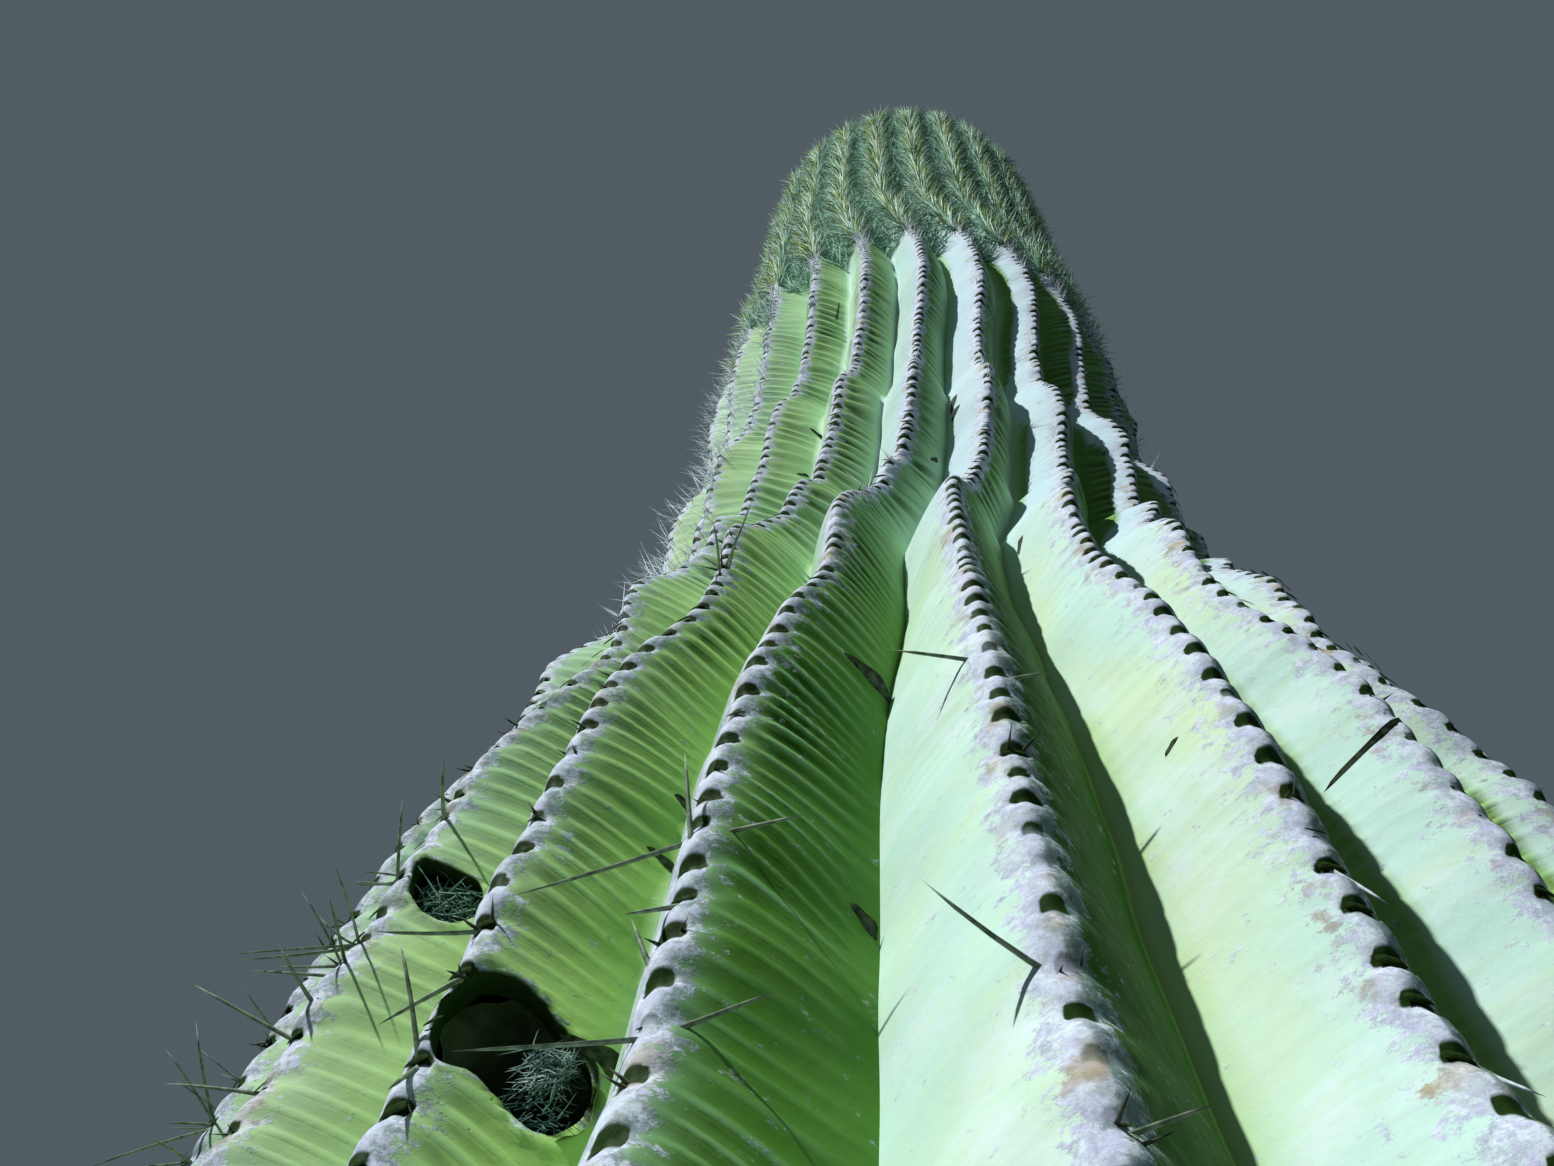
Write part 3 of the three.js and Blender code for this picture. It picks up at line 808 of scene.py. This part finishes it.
def build_skin():
    """The skin in six pieces, finer towards the photograph's side, with both holes cut."""
    skin_piece("skin_far_left", -6, -3, FINE_COLUMNS, MEDIUM_ROWS)
    holed = skin_piece("skin_left", -3, 0, FINE_COLUMNS, FINE_ROWS, callus)
    cut_hole(holed, NEST_CENTRE, NEST_OUTLINE, NEST_CORNERS, NEST_RIM)
    cut_hole(holed, PIT_CENTRE, PIT_OUTLINE, PIT_CORNERS, PIT_RIM)
    skin_piece("skin_middle", 0, 3, FINE_COLUMNS, FINE_ROWS)
    skin_piece("skin_right", 3, 6, FINE_COLUMNS, MEDIUM_ROWS)
    skin_piece("skin_back_right", 6, 12, COARSE_COLUMNS, COARSE_ROWS)
    skin_piece("skin_back_left", 12, 18, COARSE_COLUMNS, COARSE_ROWS)


def hole_cup(centre, outline, profile, count, seed, rough):
    """A cup behind a hole: rings of (share of the hole's size, distance in), closed at the back."""
    rings = []
    for share, depth in profile:
        ring = hole_ring(centre, outline, count, share)
        rings.append(np.stack([ring[:, 0], np.full(count, centre[1] + depth), ring[:, 1]], -1))
    points = np.array(rings)
    flat = (points - [centre[0], 0, centre[2]]) * [1, 0, 1]
    points += flat * (rough * swell(points, seed, 0.02))[..., None]
    points[..., 1] += 0.002 * swell(points, seed + 1, 0.015)
    tail = [centre[0], centre[1] + profile[-1][1] + 0.002, centre[2]]
    return np.concatenate([points.reshape(-1, 3), [tail]]), closed_tube(len(profile), count)


def build_boot():
    """Cork that lines the nest hole, widening behind its mouth, and the scarred bowl of the pit."""
    points, faces = hole_cup(NEST_CENTRE, NEST_OUTLINE, NEST_LINING, 48, 31, 0.05)
    make_piece("nest_lining", points, faces, CORK, ["nest_boot"])
    points, faces = hole_cup(PIT_CENTRE, PIT_OUTLINE, PIT_LINING, 28, 33, 0.06)
    make_piece("pit_lining", points, faces, SCAR, ["trunk"])


def cones(roots, ways, lengths, widths, bends=None, sides=3, joints=0, taper=0.75):
    """Tapered spines as one mesh: from a root along a way, with some joints where they can bend."""
    ways = normalised(ways)
    helper = np.where(np.abs(ways[:, 2:3]) < 0.9, [[0, 0, 1]], [[1, 0, 0]])
    first = normalised(np.cross(ways, helper))
    second = np.cross(ways, first)
    turns = (np.arange(sides) * 2 * math.pi / sides)[None, :, None]
    ring = np.cos(turns) * first[:, None] + np.sin(turns) * second[:, None]
    rings = []
    for level in np.linspace(0, 1, joints + 2)[:-1]:
        bent = 0 if bends is None else bends * level**2 * lengths[:, None]
        middle = roots + ways * (lengths * level)[:, None] + bent
        radius = (widths * (1 - taper * level))[:, None, None]
        rings.append(middle[:, None] + radius * ring)
    bent = 0 if bends is None else bends * lengths[:, None]
    tips = roots + ways * lengths[:, None] + bent
    points = np.concatenate([np.concatenate(rings, 1), tips[:, None]], 1).reshape(-1, 3)
    return points, closed_tube(joints + 1, sides, len(roots))


def spine_piece(name, sets, material, nodes, slot="spines", **how):
    """One piece of several sets of spines, with the settings of cones in how."""
    points, faces = cones(*(np.concatenate(column) for column in zip(*sets)), **how)
    make_piece(name, points, faces, material, nodes)


def crest_frames(rib, heights):
    """Points on a crest with their outward, sideways and upward directions."""
    heights = np.asarray(heights, float)
    angle = rib_angle(rib, heights)
    here = on_stem(angle, smooth(CREST_RADIUS, heights), heights)
    above = on_stem(rib_angle(rib, heights + 0.001), smooth(CREST_RADIUS, heights + 0.001), heights + 0.001)
    side = np.stack([np.cos(angle), np.sin(angle), 0 * angle], -1)
    up = normalised(above - here)
    out = normalised(np.cross(side, up))
    return here, out, side, up


def all_areoles(low, high):
    """Frames of all areoles between two heights, with their ribs, heights and vigour."""
    found = []
    for rib, marks in AREOLES.items():
        keep = (marks >= low) & (marks < high)
        heights = marks[keep]
        found.append((*crest_frames(rib, heights), np.full(len(heights), rib), heights, VIGOUR[rib][keep]))
    return [np.concatenate(part) for part in zip(*found)]


SPINE_SUNK = 0.004
BRISTLE_SUNK = 0.002
AREOLE_HALF_SIZE = 0.003


def chosen(frames, keep):
    return [part[keep] for part in frames]


def tuft(frames, count, seed, length, width, sideways, upward):
    """count spines from each areole, spread about its outward direction."""
    here, out, side, up = (np.repeat(part, count, 0) for part in frames[:4])
    rng = np.random.default_rng(seed)
    total = len(here)
    a, b, shift, rise = rng.uniform(-1, 1, (4, total, 1))
    ways = out + side * sideways * a + up * (upward[0] + (upward[1] - upward[0]) * (b + 1) / 2)
    roots = here - SPINE_SUNK * out + AREOLE_HALF_SIZE * (side * shift + up * rise)
    lengths = rng.uniform(*length, total)
    widths = rng.uniform(*width, total)
    bends = side * rng.normal(0, 0.08, total)[:, None] + up * rng.normal(0, 0.06, total)[:, None]
    return roots, ways, lengths, widths, bends


def star(frames, count, seed, length, width, outward):
    """count bristles from each areole in all directions over the skin, leaning outward."""
    here, out, side, up = (np.repeat(part, count, 0) for part in frames[:4])
    rng = np.random.default_rng(seed)
    total = len(here)
    turn = rng.uniform(0, 2 * math.pi, total)[:, None]
    lean = rng.uniform(*outward, total)[:, None]
    ways = side * np.cos(turn) + 0.7 * up * np.sin(turn) + out * lean
    roots = here - BRISTLE_SUNK * out + AREOLE_HALF_SIZE * (side * np.cos(turn) + up * np.sin(turn))
    lengths = rng.uniform(*length, total)
    widths = rng.uniform(*width, total)
    return roots, ways, lengths, widths, 0.10 * rng.normal(size=(total, 3))


# Outline of a felt pad, as shares of its half width and height: flat below, arched above.
PAD_OUTLINE = [
    (-1.0, -0.55), (-0.55, -0.75), (0.0, -0.8), (0.55, -0.75), (1.0, -0.55),
    (0.92, 0.2), (0.62, 0.75), (0.0, 1.0), (-0.62, 0.75), (-0.92, 0.2),
]
PAD_HALF_WIDTH = 0.0042
PAD_HALF_HEIGHT = 0.0028
PAD_SUNK = 0.0030
PAD_LIFT = 0.0010
PAD_DOME = 0.0008
WAIST_HEIGHT = 2.45


def build_felt():
    """A felt pad in the hollow of each areole, under the arch of its lip, dark green-black as painted
    shade.
    """
    corners = np.array(PAD_OUTLINE)
    for name, low, high, nodes in (
        ("felt_low", 0, WAIST_HEIGHT, LOW_ROWS), ("felt_high", WAIST_HEIGHT, 3.6, HIGH_ROWS),
    ):
        here, out, side, up, _, heights, vigour = all_areoles(low, high)
        scale = (smooth(RELIEF_SHARE, heights) * vigour)[:, None]
        width = PAD_HALF_WIDTH * (0.75 + 0.3 * vigour)[:, None, None]
        ring = width * corners[None, :, :1] * side[:, None]
        ring = ring + PAD_HALF_HEIGHT * scale[:, None] * corners[None, :, 1:] * up[:, None]
        seat = (here - PAD_SUNK * out * scale + PAD_LIFT * up)[:, None]
        dome = PAD_DOME * (out * scale)[:, None]
        points = np.concatenate([seat + ring, seat + 0.7 * ring + 0.75 * dome, seat + dome], 1)
        faces = closed_tube(2, len(corners), len(here))
        make_piece(name, points.reshape(-1, 3), faces, FELT_AND_NOTCH_SHADE, nodes)


# Long spines that stand out in the photograph: rib, height, length, and how far they point
# outward, sideways and up.
LONG_SPINES = [
    (-1, 1.842, 0.052, 0.46, -0.65, -0.60), (-1, 1.947, 0.056, 0.10, -0.93, -0.40),
    (-1, 1.905, 0.026, 0.49, -0.32, -0.81), (-1, 1.860, 0.032, 0.29, -0.35, 0.89),
    (-1, 1.830, 0.030, 0.05, 1.00, 0.16), (-1, 1.938, 0.034, 0.11, 0.94, -0.31),
    (-1, 1.929, 0.050, 0.40, -0.05, 0.91), (-2, 1.917, 0.032, 0.34, -0.35, -0.87),
    (-2, 1.866, 0.042, 0.56, -0.02, 0.83), (-2, 1.869, 0.022, 0.37, 0.19, -0.91),
    (-2, 1.944, 0.034, 0.60, -0.53, -0.61), (-3, 1.950, 0.045, 0.73, -0.55, 0.38),
    (-3, 1.932, 0.040, 0.52, -0.78, 0.33), (-3, 2.097, 0.030, 0.62, 0.68, -0.33),
    (-3, 1.977, 0.022, 1.00, 0.07, 0.21), (0, 1.854, 0.038, 0.40, -0.86, 0.30),
    (0, 2.070, 0.030, 0.15, -1.00, 0.08), (0, 2.046, 0.018, 0.37, 0.90, -0.10),
    (0, 1.773, 0.016, 0.45, 0.90, -0.09),
]
PALE_SPINES = [(1, 1.923, 0.024, 0.25, 0.30, -1.0), (1, 1.839, 0.024, 0.35, 0.2, -0.94)]


def placed_spines(spines, width, seed):
    """Spines from a list, each from the areole nearest its height."""
    found = []
    for rib, height, length, outward, sideways, upward in spines:
        marks = AREOLES[rib]
        here, out, side, up = crest_frames(rib, marks[[np.abs(marks - height).argmin()]])
        way = out * outward + side * sideways + up * upward
        found.append((here - SPINE_SUNK * out, way, length + SPINE_SUNK, width))
    rng = np.random.default_rng(seed)
    roots, ways = (np.concatenate([row[i] for row in found]) for i in (0, 1))
    lengths, widths = (np.array([row[i] for row in found]) for i in (2, 3))
    return roots, ways, lengths, widths, rng.normal(0, 0.05, roots.shape)


# Healed slits and sunken spots: rib and height of both ends, and half the width.
SCARS = [
    (-0.72, 2.130, -0.48, 2.122, 0.0034), (-0.59, 1.948, -0.51, 1.938, 0.0024),
    (-1.64, 2.018, -1.52, 2.010, 0.0020), (-1.60, 2.058, -1.53, 2.052, 0.0020),
    (0.73, 2.022, 0.79, 2.029, 0.0010), (-1.67, 1.897, -1.45, 1.890, 0.0038),
    (-2.62, 3.220, -2.66, 3.155, 0.0012), (-0.46, 2.770, -0.38, 2.805, 0.0020),
    (-0.44, 2.750, -0.34, 2.770, 0.0020), (-0.68, 2.649, -0.59, 2.660, 0.0020),
    (-1.40, 2.610, -1.40, 2.660, 0.0014), (-2.62, 2.800, -2.46, 2.790, 0.0016),
    (-2.67, 2.700, -2.56, 2.706, 0.0016), (0.61, 2.325, 0.66, 2.350, 0.0014),
    # This last one is painted shadow: a dark mark for the shadow line of a fold in the skin on rib 2.
    (1.66, 2.052, 2.08, 2.086, 0.0016),
]


def skin_spot(place, height):
    """Point of the skin at a place between ribs, with its outward direction."""
    rib = math.floor(place + 0.5)
    side = 2 * (place - rib)
    sides = np.array([side - 0.02, side + 0.02])
    points, _ = rib_surface(rib, sides, np.array([height - 0.001, height + 0.001]))
    along = normalised(points[:, 1].mean(0) - points[:, 0].mean(0))
    up = normalised(points[1].mean(0) - points[0].mean(0))
    return points.mean((0, 1)), normalised(np.cross(along, up))


# How a scar's section rises from its lower edge to its upper one, as shares of its half width.
SCAR_SECTION = [(-1, -0.4), (-0.6, 0.15), (0, 0.35), (0.7, 0.7), (1, 0.9)]
SCAR_STEPS = 11


def build_scars():
    """Dark lens-shaped scars that lie on the flanks."""
    shares = np.linspace(0, 1, SCAR_STEPS)
    points = []
    faces = []
    for start_place, start_height, end_place, end_height, half in SCARS:
        places = start_place + (end_place - start_place) * shares
        heights = start_height + (end_height - start_height) * shares
        spots = [skin_spot(place, height) for place, height in zip(places, heights)]
        middle = np.array([spot[0] for spot in spots])
        out = np.array([spot[1] for spot in spots])
        across = normalised(np.cross(out, np.gradient(middle, axis=0)))
        across *= np.sign(across[SCAR_STEPS // 2, 2])
        ragged = 1 + 0.2 * np.sin(9 * shares + 700 * half)
        width = (half * np.sin(math.pi * shares) ** 0.7 * ragged)[:, None]
        faces += (grid_faces(len(SCAR_SECTION), SCAR_STEPS) + SCAR_STEPS * len(points)).tolist()
        points += [middle + across * width * step + out * width * rise for step, rise in SCAR_SECTION]
    make_piece("scars", np.concatenate(points), faces, SCAR, ["trunk"])


def tangle(centre, outline, box, count, seed, length, width, depth):
    """Loose strands inside a hole, within a box of (low X, high X, low Z, high Z) from its centre."""
    rng = np.random.default_rng(seed)
    x = rng.uniform(box[0], box[1], count)
    z = rng.uniform(box[2], box[3], count)
    roots = np.array(centre) + np.stack([x, rng.uniform(*depth, count), z], -1)
    lengths = rng.uniform(*length, count)
    turn = rng.normal(0.5, 0.9, count) + math.pi * rng.integers(0, 2, count)
    ways = np.stack([np.cos(turn), rng.normal(0, 0.15, count), np.sin(turn)], -1)
    bends = 0.35 * rng.normal(size=(count, 3)) * [1, 0.3, 1]
    ends = roots + (ways + bends) * lengths[:, None]
    inside = (hole_reach(roots, centre, outline) < 1.0) & (hole_reach(ends, centre, outline) < 1.04)
    parts = (roots, ways, lengths, rng.uniform(*width, count), bends)
    return [part[inside] for part in parts]


def build_fibres():
    """Webby fibres low in the nest hole's mouth, and twigs caught in the pit."""
    fluff = tangle(NEST_CENTRE, NEST_OUTLINE, (0.006, 0.018, -0.008, 0.009), 260, 61,
                   (0.003, 0.009), (0.0002, 0.00035), (0.004, 0.009))
    spine_piece("nest_fluff", [fluff], FLUFF, ["nest_boot"], "cork", joints=3)
    fibres = tangle(NEST_CENTRE, NEST_OUTLINE, (-0.006, 0.022, -0.030, -0.014), 150, 62,
                    (0.008, 0.020), (0.0002, 0.0004), (0.003, 0.012))
    spine_piece("nest_fibres", [fibres], FIBRE, ["nest_boot"], "cork", joints=3)
    twigs = tangle(PIT_CENTRE, PIT_OUTLINE, (-0.012, 0.014, -0.018, 0.012), 560, 63,
                   (0.010, 0.024), (0.0004, 0.0009), (0.0, 0.007))
    spine_piece("pit_twigs", [twigs], TWIG, ["trunk"], "cork", joints=3)


# Height below which the far ribs keep their long spines, and height of the hairs' start.
SHAGGY_HEIGHT = 2.12
HAIRY_HEIGHT = 2.50


def build_low_spines():
    """Worn lower stem: short dark thorns, with clusters of long spines left on the far ribs."""
    rng = np.random.default_rng(71)
    frames = all_areoles(0.3, 2.5)
    rib, height = frames[4:6]
    chance = np.where(np.abs(rib - 0.5) < 2, 0.15, 0.35)
    chance = np.where(np.abs(rib - 4) <= 2, 0.04, chance) * (1 - 0.85 * (height > 2.2))
    keep = rng.uniform(size=len(rib)) < chance
    short = tuft(chosen(frames, keep), 2, 72, (0.007, 0.014), (0.0007, 0.0011), 1.1, (-0.9, 0.5))
    spine_piece("thorns_low", [short], SPINE_DARK, LOW_ROWS, joints=1)
    shaggy = ((rib <= -2) | (rib >= 6)) & (height < SHAGGY_HEIGHT)
    chance = np.where(shaggy, 0.42, 0.0)
    chance = np.where((rib == -2) & (height > 1.8), 0.12, chance)
    keep = rng.uniform(size=len(rib)) < chance
    long = tuft(chosen(frames, keep), 4, 73, (0.018, 0.046), (0.0006, 0.0009), 1.3, (-0.8, 0.7))
    sets = [long, placed_spines(LONG_SPINES, 0.0011, 74)]
    spine_piece("spines_low", sets, SPINE_GREEN, LOW_ROWS, sides=4, joints=3, taper=0.55)
    sets = [placed_spines(PALE_SPINES, 0.0010, 75)]
    spine_piece("spines_pale", sets, HAIR_WHITE, LOW_ROWS, sides=4, joints=3)


def build_hairs():
    """White hairs on the upper stem, thick on its left and up to the head."""
    rng = np.random.default_rng(80)
    mid = all_areoles(2.30, 3.34)
    rib, height = mid[4:6]
    chance = np.where(rib >= 3, 0.22 * step_up(2.7, 3.2, height), 0.04)
    keep = (rng.uniform(size=len(rib)) < chance) & (rib > -4)
    few = chosen(mid, keep)
    keep = (rng.uniform(size=len(rib)) < 0.85) & (rib <= -4) & (height > HAIRY_HEIGHT)
    many = chosen(mid, keep)
    sets = [
        tuft(few, 5, 81, (0.010, 0.024), (0.00035, 0.0006), 1.0, (-0.7, 0.7)),
        tuft(many, 6, 83, (0.016, 0.034), (0.0003, 0.0005), 1.0, (-0.9, 0.8)),
        tuft(all_areoles(3.34, 3.5), 9, 82, (0.010, 0.022), (0.0004, 0.0007), 1.1, (-0.7, 0.6)),
    ]
    spine_piece("hairs_high", sets, HAIR_WHITE, HIGH_ROWS)


# The head: mean height of its start and how that differs between ribs, and the bristles between ribs.
HEAD_START = 3.45
HEAD_SWAY = 0.045
MAT_HEIGHTS = (3.42, 4.64)
MAT_COUNT = 18000
BRISTLE_WIDTH = (0.0008, 0.0014)


def build_head():
    """Dense bristles of three colours over the head, and a mat of them between its ribs."""
    head = all_areoles(3.15, 4.7)
    head = chosen(head, head[5] > HEAD_START + HEAD_SWAY * np.sin(3.1 * head[4]))
    for name, count, seed, length, outward, material in (
        ("bristles_grey", 16, 91, (0.020, 0.040), (-0.35, 0.8), BRISTLE_GREY),
        ("bristles_straw", 7, 92, (0.014, 0.030), (0.0, 2.0), BRISTLE_STRAW),
        ("bristles_white", 7, 93, (0.018, 0.032), (-0.2, 1.6), BRISTLE_WHITE),
    ):
        sets = [star(head, count, seed, length, BRISTLE_WIDTH, outward)]
        spine_piece(name, sets, material, HIGH_ROWS)
    spine_piece("bristles_between", [flank_mat(*MAT_HEIGHTS, MAT_COUNT, 96)], BRISTLE_MINT, HIGH_ROWS)


def flank_mat(low, high, count, seed):
    """Bristles that lie crossed between the ribs of the head."""
    rng = np.random.default_rng(seed)
    heights = rng.uniform(low, high, count)
    ribs = rng.integers(0, RIBS, count)
    share = rng.uniform(0.25, 0.75, count)
    near = rib_angle(ribs, heights)
    far = rib_angle(ribs + 1, heights)
    angle = near + (far - near) * share
    depth = smooth(RIB_DEPTH, heights) * (1 - np.abs(2 * share - 1))
    roots = on_stem(angle, smooth(CREST_RADIUS, heights) - 0.75 * depth, heights)
    out = np.stack([np.sin(angle), -np.cos(angle), 0 * angle], -1)
    side = np.stack([np.cos(angle), np.sin(angle), 0 * angle], -1)
    turn = rng.uniform(0, 2 * math.pi, count)[:, None]
    lean = rng.uniform(0.3, 1.6, count)[:, None]
    ways = side * np.cos(turn) + np.sin(turn) * [0, 0, 0.8] + out * lean
    bends = 0.12 * rng.normal(size=(count, 3))
    lengths = rng.uniform(0.018, 0.034, count)
    return roots, ways, lengths, rng.uniform(0.0007, 0.0012, count), bends


CAP_RADIUS = 0.060
CAP_BASE = 4.690
CAP_RISE = 0.014
CAP_RINGS = 14
CAP_TURNS = 48
CAP_BRISTLES = 1500


def build_crown():
    """Felt dome over the growing tip with bristles standing up from it."""
    turns = np.arange(CAP_TURNS) * 2 * math.pi / CAP_TURNS
    share = np.linspace(1, 0.03, CAP_RINGS)[:, None] + 0 * turns[None, :]
    x = LEAN_AT_TIP + CAP_RADIUS * share * np.sin(turns)[None, :]
    y = -CAP_RADIUS * share * np.cos(turns)[None, :]
    z = CAP_BASE + CAP_RISE * np.sqrt(np.clip(1 - share**2, 0, 1)) - 0.004 * (share > 0.99)
    points = np.stack([x, y, z], -1)
    points[..., 2] += 0.0022 * swell(points, 41, 0.02) * (1 - share**4)
    flat = np.concatenate([points.reshape(-1, 3), [[LEAN_AT_TIP, 0, CAP_BASE + CAP_RISE]]])
    faces = closed_tube(CAP_RINGS, CAP_TURNS)
    make_piece("crown_cap", flat, faces, FELT_PALE, ["crown_felt"])

    rng = np.random.default_rng(95)
    share = np.sqrt(rng.uniform(0, 1, CAP_BRISTLES))
    turn = rng.uniform(0, 2 * math.pi, CAP_BRISTLES)
    flat_way = np.stack([np.sin(turn), -np.cos(turn), 0 * turn], -1)
    roots = flat_way * (CAP_RADIUS * share)[:, None] + [LEAN_AT_TIP, 0, 0]
    roots[:, 2] = CAP_BASE - 0.004 + 0.012 * np.sqrt(1 - share**2)
    ways = flat_way * (0.2 + share * 0.9)[:, None] + rng.normal(0, 0.3, (CAP_BRISTLES, 3)) + [0, 0, 0.9]
    bristles = (roots, ways, rng.uniform(0.012, 0.026, CAP_BRISTLES), np.full(CAP_BRISTLES, 0.0008))
    spine_piece("crown_bristles", [bristles], BRISTLE_STRAW, ["crown_felt"], "crown")


FLOOR_RADIUS = 1.2
FLOOR_CORNERS = 96
SURROUNDINGS = (0.085, 0.110, 0.125, 1)


def add_sun(name, azimuth, rise, energy, softness, colour):
    """A sun lamp that shines from an azimuth and a height, in degrees."""
    light = bpy.data.lights.new(name, "SUN")
    light.energy = energy
    light.angle = math.radians(softness)
    light.color = colour
    sun = add_object(name, light)
    azimuth, rise = math.radians(azimuth), math.radians(rise)
    way = Vector((math.sin(azimuth) * math.cos(rise), -math.cos(azimuth) * math.cos(rise), math.sin(rise)))
    sun.location = 5 * way
    sun.rotation_euler = way.to_track_quat("Z", "Y").to_euler()


def build_stage():
    """Round pale floor, a sun, a soft light from behind and even surroundings."""
    turns = np.arange(FLOOR_CORNERS) * 2 * math.pi / FLOOR_CORNERS
    rim = np.stack([FLOOR_RADIUS * np.cos(turns), FLOOR_RADIUS * np.sin(turns), 0 * turns], -1)
    mesh = bpy.data.meshes.new("floor")
    mesh.from_pydata(rim, [], [list(range(FLOOR_CORNERS))])
    mesh.materials.append(grained("pale_floor", (0.62, 0.61, 0.59), (0.66, 0.65, 0.63), 0.9, 3))
    floor = add_object("floor", mesh)
    add_sun("sun", SUN_AZIMUTH, SUN_HEIGHT, 4.9, 1.0, (1.0, 0.99, 0.97))
    add_sun("back_fill", 175, 35, 0.9, 40, (1, 1, 1))

    world = bpy.data.worlds.new("surroundings")
    world.use_nodes = True
    background = world.node_tree.nodes["Background"]
    background.inputs["Color"].default_value = SURROUNDINGS
    background.inputs["Strength"].default_value = 1.0
    bpy.context.scene.world = world
    bpy.context.scene.view_settings.view_transform = "Standard"


CAMERA_PLACE = (-0.040, -0.600, 1.500)
CAMERA_PITCH = 67.0
CAMERA_HEADING = -8.5
CAMERA_ROLL = -7.7
FOCAL_PIXELS = 1700
PHOTO_WIDTH = 1554
SENSOR_WIDTH = 36


def build_camera():
    """The photograph's view: from under the shoulder, steeply up along the stem."""
    pitch, heading, roll = (math.radians(a) for a in (CAMERA_PITCH, CAMERA_HEADING, CAMERA_ROLL))
    ahead = Vector((math.sin(heading), math.cos(heading), 0))
    forward = math.cos(pitch) * ahead + math.sin(pitch) * Vector((0, 0, 1))
    level = Vector((math.cos(heading), -math.sin(heading), 0))
    upright = level.cross(forward)
    right = math.cos(roll) * level - math.sin(roll) * upright
    up = math.sin(roll) * level + math.cos(roll) * upright
    data = bpy.data.cameras.new("camera")
    data.sensor_width = SENSOR_WIDTH
    data.lens = FOCAL_PIXELS / PHOTO_WIDTH * SENSOR_WIDTH
    data.clip_start = 0.01
    camera = add_object("camera", data)
    turn = Matrix((right, up, -forward)).transposed().to_4x4()
    camera.matrix_world = Matrix.Translation(CAMERA_PLACE) @ turn
    bpy.context.scene.camera = camera


build_camera()
build_skin()
build_boot()
build_felt()
build_scars()
build_fibres()
build_low_spines()
build_hairs()
build_head()
build_crown()
build_stage()
